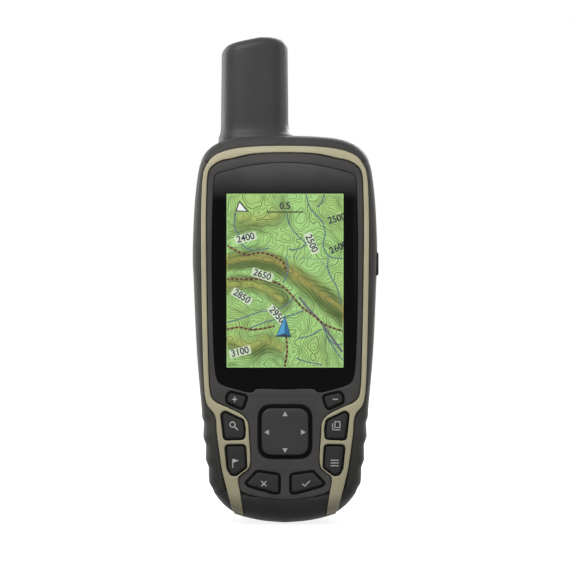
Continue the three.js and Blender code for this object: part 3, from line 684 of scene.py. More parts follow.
def back_solid(name):
    """The rear half of the body as one closed solid, from the parting line to the back."""
    rings = [straight_ring(PARTING - 0.05, GRIP_DEPTH, 0.22), straight_ring(PARTING + 0.1, GRIP_DEPTH)]
    for y in (-1, 1, 3, 5, 7, GRIP_BACK + 0.1):
        rings.append(straight_ring(y, GRIP_DEPTH))
    rings.append(straight_ring(GRIP_BACK + 0.25, 0))
    steps = 9
    for step in range(steps + 1):
        turn = math.pi / 2 * step / steps
        ring = []
        for index, (x, z) in enumerate(BODY):
            radius = back_radius(z)
            depth = barrel(GRIP_BACK) + radius * (1 - math.cos(turn))
            before, after = BODY[index - 1], BODY[(index + 1) % len(BODY)]
            dx, dz = after[0] - before[0], after[1] - before[1]
            scale = depth / math.hypot(dx, dz)
            start = max(back_depth(z) - radius, GRIP_BACK + 0.3)
            nx, nz = x - dz * scale, z + dx * scale
            ring.append((nx, start + (back_depth(nz) - start) * math.sin(turn), nz))
        rings.append(ring)
    edge = rings[-1]
    for step in range(1, 15):
        share = 1 - step / 14
        ring = []
        for x, _, z in edge:
            middle = min(max(z, 30), 96)
            nz = middle + (z - middle) * share
            ring.append((x * share, back_depth(nz), nz))
        rings.append(ring)
    vertices, faces = loft(rings, True, False)
    return new_mesh(name, vertices, faces)


def apply_booleans(item, cuts):
    """cuts is a list of (mesh, operation); the result is written into the item's mesh."""
    helpers = []
    for index, (mesh, operation) in enumerate(cuts):
        helper = bpy.data.objects.new(f"cut_{index}", mesh)
        bpy.context.collection.objects.link(helper)
        helpers.append(helper)
        modifier = item.modifiers.new(f"cut_{index}", "BOOLEAN")
        modifier.operation = operation
        modifier.object = helper
        modifier.solver = "EXACT"
    bpy.context.view_layer.update()
    evaluated = item.evaluated_get(bpy.context.evaluated_depsgraph_get())
    result = bpy.data.meshes.new_from_object(evaluated)
    item.modifiers.clear()
    item.data = result
    for helper in helpers:
        bpy.data.objects.remove(helper)
    for polygon in result.polygons:
        polygon.use_smooth = True
    result.set_sharp_from_angle(angle=math.radians(32))


def prism(outline, y_from, y_to):
    vertices, faces = loft([[(x, y_from, z) for x, z in outline], [(x, y_to, z) for x, z in outline]])
    return new_mesh("prism", vertices, faces)


def box_mesh(x_from, x_to, y_from, y_to, z_from, z_to):
    corners = [(x_from, z_from), (x_to, z_from), (x_to, z_to), (x_from, z_to)]
    return prism(corners, y_from, y_to)


def circle(radius, x, z, steps=32):
    return [(x + radius * math.cos(2 * math.pi * k / steps), z + radius * math.sin(2 * math.pi * k / steps))
            for k in range(steps)]


def door_outline(gap):
    """The door's edge: the body's outline drawn in, cut across above the cells and at the foot."""
    drawn = inset(BODY, 3.2 - gap)
    low, high = 5.5 - gap, DOOR_TOP + gap
    kept = [(x, min(max(z, low), high)) for x, z in drawn if low - 2 < z]
    right = [p for p in kept if p[0] > 0 and p[1] < high]
    corner = right[-1][0]
    right = [p for p in right if p[1] > low]
    foot = right[0][0]
    points = [(0, low), (foot - 1.2, low), *right, (corner, high)]
    return points + list(reversed(mirrored(points[1:])))


LATCH_HEIGHT = 12.0
CELL_BAY_HALF_WIDTH, CELL_BAY_LOW, CELL_BAY_HIGH = 15.25, 19.0, 74.4
SCREW_HOLES = [(20.4, TOP - 10.4), (-20.4, TOP - 10.4)]
PORT_X, PORT_HEIGHT = 16.0, 101.0


def rear_shell():
    mesh = back_solid("rear_shell")
    item = finish_mesh("rear_shell", mesh, "body", SHELL, ["rear_housing"])
    door_seat = prism(door_outline(0.16), BACK - 2.35, BACK + 8)
    cell_bay = box_mesh(
        -CELL_BAY_HALF_WIDTH, CELL_BAY_HALF_WIDTH, -0.6, BACK + 9, CELL_BAY_LOW, CELL_BAY_HIGH)
    latch_pocket = box_mesh(-8.2, 8.2, 6, BACK + 9.2, LATCH_HEIGHT - 5.6, LATCH_HEIGHT + 5.6)
    port = box_mesh(
        PORT_X - 4, PORT_X + 4, UPPER_BACK - 2.2, BACK + 9.4, PORT_HEIGHT - 4, PORT_HEIGHT + 4)
    flap_seat = prism(rounded_box(12.8, 16.8, 2.6, PORT_X, PORT_HEIGHT), UPPER_BACK - 0.5, BACK + 9.5)
    cuts = [door_seat, cell_bay, latch_pocket, port, flap_seat]
    cuts += [prism(circle(2.2, x, z), 6, BACK + 9.7) for x, z in SCREW_HOLES]
    apply_booleans(item, [(cut, "DIFFERENCE") for cut in cuts])
    return item


def battery_door():
    mesh = back_solid("door_panel")
    item = finish_mesh("door_panel", mesh, "door", SHELL, ["battery_door"])
    well = rounded_box(17.2, 20.5, 3, 0, 16.25)
    apply_booleans(item, [
        (prism(door_outline(0.0), BACK - 2.2, BACK + 8), "INTERSECT"),
        (prism(well, BACK - 1, BACK + 9), "DIFFERENCE"),
        (prism(circle(5.25, 0, LATCH_HEIGHT, 40), BACK - 4, BACK + 9.2), "DIFFERENCE"),
        (prism(rounded_box(27, 15, 1.5, 0, 55), BACK - 0.25, BACK + 9.3), "DIFFERENCE"),
        (prism(rounded_box(24, 0.8, 0.4, 0, 74.6, 3), BACK - 0.4, BACK + 9.4), "DIFFERENCE"),
        (prism(rounded_box(24, 0.8, 0.4, 0, 72.6, 3), BACK - 0.4, BACK + 9.5), "DIFFERENCE"),
        (prism(rounded_box(24, 0.8, 0.4, 0, 70.6, 3), BACK - 0.4, BACK + 9.6), "DIFFERENCE"),
    ])
    return item


def step_lip(z):
    """The scale-like lips low on the grips, as a small outward offset."""
    fade = smoothstep(9.5, 13, z) * (1 - smoothstep(33, 38, z))
    phase = ((28.1 - z) / 7.4) % 1
    saw = 0.36 - 0.72 * phase / 0.32 if phase < 0.32 else -0.36 + 0.72 * (phase - 0.32) / 0.68
    return saw * fade


def side_grip(side):
    """A soft moulding over one side, from the trim's edge round to the back."""
    columns = [
        i for i, (x, z) in enumerate(BODY)
        if x * side > 10 and GRIP_LOW + 0.1 < z < GRIP_HIGH - 0.1
    ]
    columns.sort(key=lambda i: BODY[i][1])
    rows = [("turn", math.pi / 2 * step / 16) for step in range(1, 17)]
    rows += [("flat", y) for y in (-7.2, -6, -4, -2, 0, 2, 4, 6, 7.4, 8.4, GRIP_BACK)]
    outer = []
    for kind, amount in rows:
        line = []
        for i in columns:
            (bx, bz), (rx, rz), (nx, nz) = BODY[i], RIM[i], OUTWARD[i]
            foot_fade = smoothstep(GRIP_LOW, GRIP_LOW + 0.7, bz)
            crown_fade = 1 - smoothstep(GRIP_HIGH - 0.5, GRIP_HIGH, bz)
            sink = (1 - min(foot_fade, crown_fade)) * 0.5
            if kind == "turn":
                share = math.sin(amount)
                drawn = barrel(FRONT + 0.1 + front_radius(bz)) - step_lip(bz) + sink
                x = rx + (bx - nx * drawn - rx) * share
                y = edge_depth(bz, rz, amount)
                line.append((x, y + sink * (1 - share), rz + (bz - rz) * share))
            else:
                tail = smoothstep(GRIP_BACK - 0.9, GRIP_BACK, amount) * 0.5
                drawn = barrel(amount) - step_lip(bz) + max(sink, tail)
                line.append((bx - nx * drawn, amount, bz))
        outer.append(line)
    inner = []
    for line in outer:
        inner.append([
            (x - side * 1.6 if abs(x) > 12 else x, y + (1.0 if y < -12 else 0), z) for x, y, z in line
        ])
    rings = []
    for k in range(len(columns)):
        rings.append([line[k] for line in outer] + [line[k] for line in reversed(inner)])
    vertices, faces = loft(rings)
    name = "grip_right" if side > 0 else "grip_left"
    mesh = new_mesh(name, vertices, faces)
    item = finish_mesh(name, mesh, "body", GRIP, ["right_grip" if side > 0 else "left_grip"])
    if side > 0:
        low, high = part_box("power_key")
        hole = box_mesh(
            EDGE - 6, EDGE + 3,
            low.y / MM + 0.5, high.y / MM - 0.5, low.z / MM + 0.5, high.z / MM - 0.5,
        )
        apply_booleans(item, [(hole, "DIFFERENCE")])
    return item


# ---- Front ----

def chin_recess(x, z):
    """How far the front falls back below the keypad plate."""
    if z > 11:
        return 0.0
    same_side = (p for p in BODY if p[1] < 12 and p[0] * (x or 1) >= 0)
    edge = min(same_side, key=lambda p: abs(abs(p[0]) - abs(x)))
    start = 9 + 2 * min(abs(x) / 14, 1)
    share = min(max((start - z) / max(start - edge[1], 0.5), 0), 0.97)
    return 9 * (1 - math.sqrt(1 - share * share))


def trim_frame():
    outer = smooth([*reversed(mirrored(TRIM_OUTER)), *TRIM_OUTER], 5, closed=False)
    inner = smooth([*TRIM_INNER, *reversed(mirrored(TRIM_INNER))], 5, closed=False)
    outline = outer + inner
    holes = []
    for key in ("find", "page", "mark", "menu"):
        corners, side = KEYS[key]
        holes.append([(x * side, z) for x, z in inset(rounded(corners, KEY_CORNER), -0.15)])
    mesh = plate_mesh("trim", outline, holes, FRONT - 0.6, FRONT + 1.0, 0.3)
    for vertex in mesh.vertices:
        vertex.co.y += (chin_recess(vertex.co.x / MM, vertex.co.z / MM) + crown_fall(vertex.co.z / MM)) * MM
    return finish_mesh("trim", mesh, "body", KHAKI, ["trim_frame"])


def key_plate():
    outline = smooth(whole(PLATE_SIDE, (0, 8.75), (0, TOP - 6.4)), 5)
    holes = [inset(smooth(whole(GLASS_SIDE, (0, GLASS_BOTTOM), (0, TOP - 9.75)), 5), -0.12)]
    for corners, side in KEYS.values():
        holes.append([(x * side, z) for x, z in inset(rounded(corners, KEY_CORNER), -0.1)])
    holes.append(rounded_box(ROCKER_OPENING, ROCKER_OPENING, 4.6, 0, ROCKER_CENTRE))
    mesh = plate_mesh("key_plate", outline, holes, FRONT - 0.05, FRONT + 1.2, 0.28)
    for vertex in mesh.vertices:
        vertex.co.y += crown_fall(vertex.co.z / MM) * MM
    return finish_mesh("key_plate", mesh, "body", PLATE, ["front_housing"])


LCD_HALF_WIDTH, LCD_LOW, LCD_HIGH = 19.0, 51.5, 108.0


def display():
    outline = smooth(whole(GLASS_SIDE, (0, GLASS_BOTTOM), (0, TOP - 9.75)), 5)
    opening = rounded_box(2 * LCD_HALF_WIDTH, LCD_HIGH - LCD_LOW, 0.25, 0, (LCD_HIGH + LCD_LOW) / 2, 3)
    front = glass_low.y / MM
    mesh = plate_mesh("window", outline, [opening], front, glass_high.y / MM, 0.15)
    finish_mesh("window", mesh, "body", WINDOW, ["display_window"])
    backing = rounded_box(2 * LCD_HALF_WIDTH + 1, LCD_HIGH - LCD_LOW + 1, 0.25, 0, (LCD_HIGH + LCD_LOW) / 2, 3)
    mesh = plate_mesh("screen_backing", backing, [], front + 0.4, front + 3.4, 0.1)
    finish_mesh("screen_backing", mesh, "body", BLACK, ["lcd_panel"])


# ---- Map marks ----

MAP_LEVEL = glass_low.y / MM + 0.22


def add_strip(vertices, faces, a, b, half_width, y):
    """Adds one flat quad that runs from a to b."""
    length = max(math.dist(a, b), 1e-3)
    nx, nz = (b[1] - a[1]) / length * half_width, -(b[0] - a[0]) / length * half_width
    start = len(vertices)
    ring = [(a[0] - nx, a[1] - nz), (a[0] + nx, a[1] + nz), (b[0] + nx, b[1] + nz), (b[0] - nx, b[1] - nz)]
    vertices.extend((x, y, z) for x, z in ring)
    faces.append((start, start + 1, start + 2, start + 3))


def ribbon(points, width, dash=0.0, gap=0.0):
    """Vertices and faces of a flat line, or of its dashes, on the display."""
    line = smooth(points, 8, closed=False)
    total = sum(math.dist(a, b) for a, b in zip(line, line[1:]))
    fine = resample(line, max(int(total / 0.25), 4))
    vertices, faces = [], []
    travelled = 0.0
    for a, b in zip(fine, fine[1:]):
        travelled += math.dist(a, b)
        if dash and travelled % (dash + gap) > dash:
            continue
        add_strip(vertices, faces, a, b, width / 2, MAP_LEVEL)
    return vertices, faces


def map_lines(name, lines, colour, level=0.0):
    """One mesh of flat marks on the display, without those that pass its edges."""
    vertices, faces = [], []
    for line_vertices, line_faces in lines:
        start = len(vertices)
        vertices += [(x, y - level, z) for x, y, z in line_vertices]
        faces += [tuple(start + k for k in face) for face in line_faces]
    inside = []
    limit = LCD_HALF_WIDTH - 0.1
    for face in faces:
        corners = [vertices[k] for k in face]
        if all(abs(x) < limit and LCD_LOW + 0.1 < z < LCD_HIGH - 0.1 for x, _, z in corners):
            inside.append(face)
    mesh = bpy.data.meshes.new(name)
    mesh.from_pydata([Vector(v) * MM for v in vertices], [], inside)
    work = bmesh.new()
    work.from_mesh(mesh)
    loose = [v for v in work.verts if not v.link_faces]
    bmesh.ops.delete(work, geom=loose, context="VERTS")
    bmesh.ops.recalc_face_normals(work, faces=work.faces)
    for face in work.faces:
        if face.normal.y > 0:
            face.normal_flip()
    work.to_mesh(mesh)
    work.free()
    return finish_mesh(name, mesh, "body", ink(f"{name}_ink", colour))


STREAMS = [
    [(6.8, 108), (8.0, 103.5), (12.2, 98.5), (13.0, 95), (12.4, 91), (14.5, 87.5), (19, 87)],
    [(12.8, 108), (11.8, 105), (10.4, 103.6)],
    [(0.6, 101.5), (1.6, 97.5), (4.4, 94), (6.8, 91.6), (3.6, 89.8), (1.2, 89.9)],
    [(-16, 102), (-16.4, 97), (-15, 94.6), (-13.5, 91), (-10, 89.6), (-5, 90.4)],
    [(0.2, 87.6), (1.0, 83), (-0.6, 79)],
    [(-19, 66), (-14, 67.5), (-8, 69.6), (-2, 70.6), (3, 74)],
    [(-12, 64), (-6, 66.4), (0, 67.8), (6, 70)],
    [(12, 66), (14.5, 60), (19, 53.5)],
    [(4.2, 61), (8, 61.8), (12, 64)],
    [(13.6, 61.4), (16.4, 59), (19, 59.3)],
    [(3.5, 54.6), (7, 53.4), (12, 52.4)],
    [(14, 87), (14, 83), (16.6, 78), (18.4, 72)],
]
TRAILS = [
    [(-19, 91.3), (-15, 89), (-12.4, 88.1), (-8, 88.8), (-4, 87.8), (-0.6, 85.6), (0.4, 82.6)],
    [(-19, 80.2), (-13, 80.2), (-7, 80), (-1.6, 78.4), (1.8, 75.4), (5.4, 71.2), (9, 68.6),
     (13, 65.4), (19, 63.3)],
    [(-19, 63.8), (-15, 64.6), (-11, 63.8), (-7, 64.2), (-3.4, 65)],
    [(0.3, 61.6), (0.7, 57.5), (0.3, 54), (-0.2, 51.4)],
]
DITCH = [[(4.6, 74.4), (7.6, 70.6), (11, 67), (15.5, 60.8), (19, 56)]]
# Each ridge has its line, its height and its spread.
RIDGES = [
    ([(-23, 85), (-16, 86.2), (-9, 86.8), (-3, 85.6), (4, 81.2), (10.7, 76.4), (18.6, 69.8),
      (23, 66)], 1.0, 2.6),
    ([(-23, 77), (-17, 79), (-11, 79), (-6, 77.2), (-1, 73.4)], 0.7, 2.4),
    ([(-18, 60), (-11, 58), (-6, 60.4), (-2, 58)], 0.6, 2.6),
    ([(-14, 100), (-8, 99), (-3, 101)], 0.5, 3.0),
]
DOTTED = [(0.4, 88), (4, 87), (8, 87), (12, 85.6), (15, 82)]
LABELS = [
    ("2400", -12.8, 93.6, 14), ("2650", -7.4, 81.6, -18), ("2850", -14, 74.6, -32),
    ("2950", -2.6, 68.6, -48), ("3100", -14.6, 56.6, 14), ("2500", 8.6, 91.8, -66),
    ("2500", 16.8, 99.8, 16), ("2600", 17.3, 90.4, 24),
]


def distance_to_line(point, line):
    best = 1e9
    for a, b in zip(line, line[1:]):
        dx, dz = b[0] - a[0], b[1] - a[1]
        share = ((point[0] - a[0]) * dx + (point[1] - a[1]) * dz) / (dx * dx + dz * dz)
        share = min(max(share, 0), 1)
        best = min(best, math.hypot(point[0] - a[0] - dx * share, point[1] - a[1] - dz * share))
    return best


def ground(x, z):
    """Height of the made-up ground, and how much of it is ridge."""
    height = 1.2 * noise.noise(Vector((x * 0.055 + 3.1, z * 0.055, 1.7)))
    height += 0.42 * noise.noise(Vector((x * 0.14, z * 0.14 + 5, 4.2)))
    height += 0.1 * noise.noise(Vector((x * 0.42, z * 0.42, 9)))
    ridge = 0.0
    for line, lift, spread in RIDGES:
        near = math.exp(-(distance_to_line((x, z), line) / spread) ** 2)
        height += lift * near
        ridge = max(ridge, near * lift)
    flat = math.exp(-((x - 10) / 7) ** 2 - ((z - 83) / 6) ** 2)
    return height * (1 - 0.55 * flat), ridge


GRID = 0.5
CONTOUR_STEP = 0.062


def screen_grid():
    """Columns, rows and ground values of the display's grid."""
    width, tall = 2 * LCD_HALF_WIDTH - 0.06, LCD_HIGH - LCD_LOW - 0.06
    columns, rows = round(width / GRID), round(tall / GRID)
    xs = [-width / 2 + width * i / columns for i in range(columns + 1)]
    zs = [LCD_LOW + 0.03 + tall * j / rows for j in range(rows + 1)]
    return xs, zs, [[ground(x, z) for z in zs] for x in xs]


def screen(xs, zs, values):
    """The display's face, coloured by relief."""
    level = MAP_LEVEL + 0.03
    vertices = [(x, level, z) for x in xs for z in zs]
    rows = len(zs)
    faces = [
        (i * rows + j, (i + 1) * rows + j, (i + 1) * rows + j + 1, i * rows + j + 1)
        for i in range(len(xs) - 1) for j in range(rows - 1)
    ]
    mesh = bpy.data.meshes.new("screen")
    mesh.from_pydata([Vector(v) * MM for v in vertices], [], faces)
    if mesh.polygons[0].normal.y > 0:
        mesh.flip_normals()
    colours = mesh.color_attributes.new("relief", "FLOAT_COLOR", "POINT")
    low_green, mid_green, olive, brown = (tone(*c) for c in (
        (160, 206, 132), (162, 194, 114), (164, 170, 94), (152, 138, 78)))
    for i in range(len(xs)):
        for j in range(rows):
            height, ridge = values[i][j]
            east = values[min(i + 1, len(xs) - 1)][j][0] - values[max(i - 1, 0)][j][0]
            north = values[i][min(j + 1, rows - 1)][0] - values[i][max(j - 1, 0)][0]
            light = 1 - 0.55 * (north - east * 0.7)
            light = min(max(light, 0.74), 1.14)
            share = min(max(height * 0.55 + 0.35, 0), 1)
            base = [a + (b - a) * share for a, b in zip(low_green, mid_green)]
            base = [a + (b - a) * smoothstep(0.15, 0.7, ridge) for a, b in zip(base, olive)]
            base = [a + (b - a) * 0.75 * smoothstep(0.6, 1.0, ridge) for a, b in zip(base, brown)]
            colours.data[i * rows + j].color = (base[0] * light, base[1] * light, base[2] * light, 1)
    finish_mesh("screen", mesh, "body", MAP, ["lcd_panel"])


def contours(xs, zs, values):
    """Thin lines of equal height, as quads cut from each grid cell."""
    fine, heavy = ([], []), ([], [])
    for i in range(len(xs) - 1):
        for j in range(len(zs) - 1):
            corners = [(xs[i], zs[j], values[i][j][0]), (xs[i + 1], zs[j], values[i + 1][j][0]),
                       (xs[i + 1], zs[j + 1], values[i + 1][j + 1][0]), (xs[i], zs[j + 1], values[i][j + 1][0])]
            lowest, highest = min(c[2] for c in corners), max(c[2] for c in corners)
            for number in range(math.ceil(lowest / CONTOUR_STEP), math.floor(highest / CONTOUR_STEP) + 1):
                level = number * CONTOUR_STEP
                hits = []
                for a, b in zip(corners, corners[1:] + corners[:1]):
                    if (a[2] < level) != (b[2] < level):
                        t = (level - a[2]) / (b[2] - a[2])
                        hits.append((a[0] + (b[0] - a[0]) * t, a[1] + (b[1] - a[1]) * t))
                if len(hits) < 2:
                    continue
                a, b = hits[0], hits[1]
                wide = number % 5 == 0
                add_strip(*(heavy if wide else fine), a, b, 0.115 if wide else 0.08, MAP_LEVEL + 0.015)
    map_lines("map_contours", [fine], (84, 108, 48))
    map_lines("map_heavy_contours", [heavy], (70, 80, 34))


def label(text, x, z, degrees):
    """A number on a pale plate, as a map prints a height."""
    curve = bpy.data.curves.new(f"height_{text}", "FONT")
    curve.body = text
    curve.size = 3.1 * MM
    curve.offset = 0.06 * MM
    curve.align_x = "CENTER"
    curve.align_y = "CENTER"
    turn = math.radians(degrees)
    item = bpy.data.objects.new("text", curve)
    bpy.context.collection.objects.link(item)
    bpy.context.view_layer.update()
    mesh = bpy.data.meshes.new_from_object(item.evaluated_get(bpy.context.evaluated_depsgraph_get()))
    bpy.data.objects.remove(item)
    for vertex in mesh.vertices:
        u, v = vertex.co.x * 0.95, vertex.co.y
        vertex.co = (
            x * MM + u * math.cos(turn) - v * math.sin(turn), (MAP_LEVEL - 0.06) * MM,
            z * MM + u * math.sin(turn) + v * math.cos(turn),
        )
    mesh.materials.clear()
    plate = []
    for px, pz in rounded_box(7.2, 2.8, 0.5, 0, 0, 3):
        plate.append((
            x + px * math.cos(turn) - pz * math.sin(turn), MAP_LEVEL - 0.03,
            z + px * math.sin(turn) + pz * math.cos(turn),
        ))
    return mesh, plate


def join_meshes(name, meshes):
    work = bmesh.new()
    for mesh in meshes:
        work.from_mesh(mesh)
    joined = bpy.data.meshes.new(name)
    for face in work.faces:
        if face.normal.y > 0:
            face.normal_flip()
    work.to_mesh(joined)
    work.free()
    return joined


def clipped(points):
    """A polygon on the display, kept within its edges."""
    limit = LCD_HALF_WIDTH - 0.1
    low, high = LCD_LOW + 0.1, LCD_HIGH - 0.1
    return [(min(max(x, -limit), limit), y, min(max(z, low), high)) for x, y, z in points]


def map_marks():
    grid = screen_grid()
    screen(*grid)
    contours(*grid)
    map_lines("map_streams", [ribbon(line, 0.4) for line in STREAMS], (84, 108, 118))
    map_lines("map_dotted", [ribbon(DOTTED, 0.45, 0.45, 0.7)], (112, 128, 136))
    map_lines("map_ditch", [ribbon(line, 0.7) for line in DITCH], (92, 92, 104), 0.005)
    map_lines("map_trail_beds", [ribbon(line, 0.6) for line in TRAILS], (138, 108, 64), 0.01)
    map_lines("map_trails", [ribbon(line, 0.66, 0.85, 0.7) for line in TRAILS], (52, 32, 24), 0.015)
    texts, plates = [label("0.5", 0, 103.9, 0)[0]], []
    for text, x, z, degrees in LABELS:
        mesh, plate = label(text, x, z, degrees)
        texts.append(mesh)
        plates.append(plate)
    vertices, faces = [], []
    for plate in plates:
        faces.append(tuple(range(len(vertices), len(vertices) + len(plate))))
        vertices += clipped(plate)
    map_lines("map_label_plates", [(vertices, faces)], (200, 214, 186))
    marks = join_meshes("map_labels", texts)
    finish_mesh("map_labels", marks, "body", ink("label_ink", (30, 34, 50)))
    flat_mark("map_north_edge", [(-16.2, 102.2), (-11.6, 102.0), (-14.8, 105.8)], (30, 34, 36), 0.05)
    flat_mark("map_north", [(-15.6, 102.5), (-12.5, 102.35), (-14.75, 105.0)], (226, 230, 226), 0.07)
    flat_mark("map_scale", [(-6, 101.8), (5.8, 101.8), (5.8, 102.5), (5.45, 102.5), (5.45, 102.15),
                            (-5.65, 102.15), (-5.65, 102.5), (-6, 102.5)], (30, 34, 30), 0.06)
    pointer()


def flat_mark(name, points, colour, lift):
    """One flat polygon on the display."""
    mesh = bpy.data.meshes.new(name)
    corners = [(x * MM, (MAP_LEVEL - lift) * MM, z * MM) for x, z in points]
    mesh.from_pydata(corners, [], [tuple(range(len(points)))])
    if mesh.polygons[0].normal.y > 0:
        mesh.flip_normals()
    return finish_mesh(name, mesh, "body", ink(f"{name}_ink", colour))


def pointer():
    """The blue place marker: a kite folded along its middle."""
    tip, left, right, notch = (0.0, 68.0), (-2.6, 61.9), (1.7, 61.8), (-0.2, 62.6)
    flat_mark("map_pointer_edge", [(0.0, 68.5), (-3.0, 61.5), (2.0, 61.4)], (26, 44, 60), 0.08)
    flat_mark("map_pointer_light", [tip, left, notch], (70, 152, 196), 0.1)
    flat_mark("map_pointer_dark", [tip, notch, right], (30, 96, 140), 0.1)


# ---- Keys ----

def collar(name, outer, inner, front):
    """The black rubber rim between a key and the plate round it."""
    mesh = plate_mesh(name, outer, [inner], front, FRONT + 1.35, 0.1)
    return finish_mesh(name, mesh, "body", RIM_RUBBER)


def legend_shapes():
    """Generic pictograms, as lists of closed outlines centred on zero."""
    def bar(x, z, width, height):
        return [(x - width / 2, z - height / 2), (x + width / 2, z - height / 2),
                (x + width / 2, z + height / 2), (x - width / 2, z + height / 2)]

    def stroke(a, b, width):
        length = math.dist(a, b)
        nx, nz = (b[1] - a[1]) / length * width / 2, -(b[0] - a[0]) / length * width / 2
        return [(a[0] - nx, a[1] - nz), (b[0] - nx, b[1] - nz), (b[0] + nx, b[1] + nz), (a[0] + nx, a[1] + nz)]

    def ring(x, z, radius, width, start=0.0, end=360.0, steps=18):
        angles = [math.radians(start + (end - start) * k / steps) for k in range(steps + 1)]
        outer = [(x + radius * math.cos(a), z + radius * math.sin(a)) for a in angles]
        inside = radius - width
        inner = [(x + inside * math.cos(a), z + inside * math.sin(a)) for a in reversed(angles)]
        return outer + inner

    return {
        "in": [bar(0, 0, 1.7, 0.34), bar(0, 0.51, 0.34, 0.68), bar(0, -0.51, 0.34, 0.68)],
        "out": [bar(0, 0, 1.7, 0.34)],
        "find": [ring(-0.35, 0.35, 1.0, 0.32), stroke((0.33, -0.33), (1.35, -1.35), 0.42)],
        "page": [stroke((-1.2, -1.3), (-1.2, 0.8), 0.3), bar(0.1, -1.3, 2.3, 0.3), bar(0.35, 1.3, 1.9, 0.3),
                 bar(0.35, -0.6, 1.9, 0.3), bar(1.15, 0.35, 0.3, 1.6), bar(-0.45, 0.35, 0.3, 1.6)],
        "mark": [bar(-0.85, -0.1, 0.32, 2.9), [(-0.69, 1.35), (1.15, 0.75), (-0.69, 0.1)]],
        "menu": [bar(0, 0.9, 2.6, 0.32), bar(0, 0, 2.6, 0.32), bar(0, -0.9, 2.6, 0.32)],
        "quit": [stroke((-0.85, -0.85), (0.85, 0.85), 0.34), stroke((-0.85, 0.85), (-0.12, 0.12), 0.34),
                 stroke((0.12, -0.12), (0.85, -0.85), 0.34)],
        "enter": [stroke((-1.2, 0.0), (-0.4, -0.8), 0.36), stroke((-0.55, -0.82), (1.25, 0.95), 0.36)],
    }


def legend(name, outlines, centre, target, body):
    """Printed marks that lie on a key's face."""
    work = bmesh.new()
    work.from_mesh(target.data)
    tree = BVHTree.FromBMesh(work)
    work.free()
    vertices, faces = [], []
    for outline in outlines:
        start = len(vertices)
        vertices += [(x + centre[0], 0, z + centre[1]) for x, z in outline]
        faces.append(tuple(range(start, start + len(outline))))
    mesh = bpy.data.meshes.new(name)
    mesh.from_pydata([Vector(v) * MM for v in vertices], [], faces)
    work = bmesh.new()
    work.from_mesh(mesh)
    bmesh.ops.triangulate(work, faces=work.faces)
    for _ in range(3):
        long_edges = [edge for edge in work.edges if edge.calc_length() > 0.35 * MM]
        bmesh.ops.subdivide_edges(work, edges=long_edges, cuts=1)
    bmesh.ops.triangulate(work, faces=work.faces)
    for vertex in work.verts:
        hit = tree.ray_cast(Vector((vertex.co.x, -0.1, vertex.co.z)), Vector((0, 1, 0)))[0]
        vertex.co.y = (hit.y if hit else target.data.vertices[0].co.y) - 0.03 * MM
    for face in work.faces:
        if face.normal.y > 0:
            face.normal_flip()
    work.to_mesh(mesh)
    work.free()
    return finish_mesh(name, mesh, body, LEGEND)


def keys():
    shapes = legend_shapes()
    for name, (corners, side) in KEYS.items():
        opening = rounded(corners, KEY_CORNER)
        rim = [[(x * side, z) for x, z in inset(opening, depth)] for depth in (0.0, 0.5)]
        collar(f"collar_{name}", *rim, FRONT - 0.3)
        outline = [(x * side, z) for x, z in inset(opening, 0.56)]
        low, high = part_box(f"key_{name}")
        vertices, faces = domed(outline, high.y / MM - 1, low.y / MM + 0.25, 0.12, 0.55)
        mesh = new_mesh(f"cap_{name}", vertices, faces)
        cap = finish_mesh(f"cap_{name}", mesh, f"key_{name}", KEY, [f"key_{name}"], 50)
        cx = sum(p[0] for p in outline) / len(outline)
        cz = sum(p[1] for p in outline) / len(outline)
        legend(f"legend_{name}", shapes[name], (cx, cz), cap, f"key_{name}")


def rocker():
    low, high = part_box("rocker_cap")
    rim = [rounded_box(size, size, corner, 0, ROCKER_CENTRE) for size, corner in ((ROCKER_OPENING, 4.6), (15.9, 3.9))]
    collar("collar_rocker", *rim, FRONT - 0.25)
    outline = rounded_box(ROCKER_SIZE, ROCKER_SIZE, 3.6, 0, ROCKER_CENTRE)
    vertices, faces = domed(outline, high.y / MM, low.y / MM + 0.3, 0.15, 0.7, 0.2)
    mesh = new_mesh("rocker_pad", vertices, faces)
    pad = finish_mesh("rocker_pad", mesh, "rocker", ROCKER, ["rocker_cap"], 50)
    arrows = []
    for turn in range(4):
        cos, sin = math.cos(math.pi / 2 * turn), math.sin(math.pi / 2 * turn)
        arrows.append([(u * cos - v * sin, u * sin + v * cos) for u, v in ROCKER_ARROW])
    legend("rocker_arrows", arrows, (0, ROCKER_CENTRE - 0.1), pad, "rocker")


def power_button():
    low, high = (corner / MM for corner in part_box("power_key"))
    middle_y, middle_z = (low.y + high.y) / 2, (low.z + high.z) / 2
    tall, wide = high.z - low.z - 1.8, high.y - low.y - 1.8
    outline = rounded_box(wide, tall, 1.6, middle_y, middle_z)
    rings = [[(low.x, y, z) for y, z in outline], [(EDGE - 0.5, y, z) for y, z in outline]]
    for step in range(1, 5):
        turn = step / 4 * math.pi / 2
        ring = inset(outline, 0.5 * (1 - math.cos(turn)))
        rings.append([(EDGE - 0.5 + 0.5 * math.sin(turn), y, z) for y, z in ring])
    for step in range(1, 6):
        share = 1 - step / 5
        rings.append([
            (EDGE + 0.12 * (1 - share), middle_y + (y - middle_y) * share, middle_z + (z - middle_z) * share)
            for y, z in inset(outline, 0.5)
        ])
    vertices, faces = loft(rings, True, False)
    mesh = new_mesh("power_button", vertices, faces)
    finish_mesh("power_button", mesh, "power_key", KEY, ["power_key"], 50)


# ---- Antenna ----

ANTENNA_X, ANTENNA_Y = -10.1, 1.0
SECTION_HALF_WIDTH = 11.1
SECTION = [
    (4.6, -10.3), (8.0, -8.9), (10.2, -6.2), (SECTION_HALF_WIDTH, -2), (SECTION_HALF_WIDTH, 3),
    (10, 7), (7.4, 9.6), (4, 10.4),
]


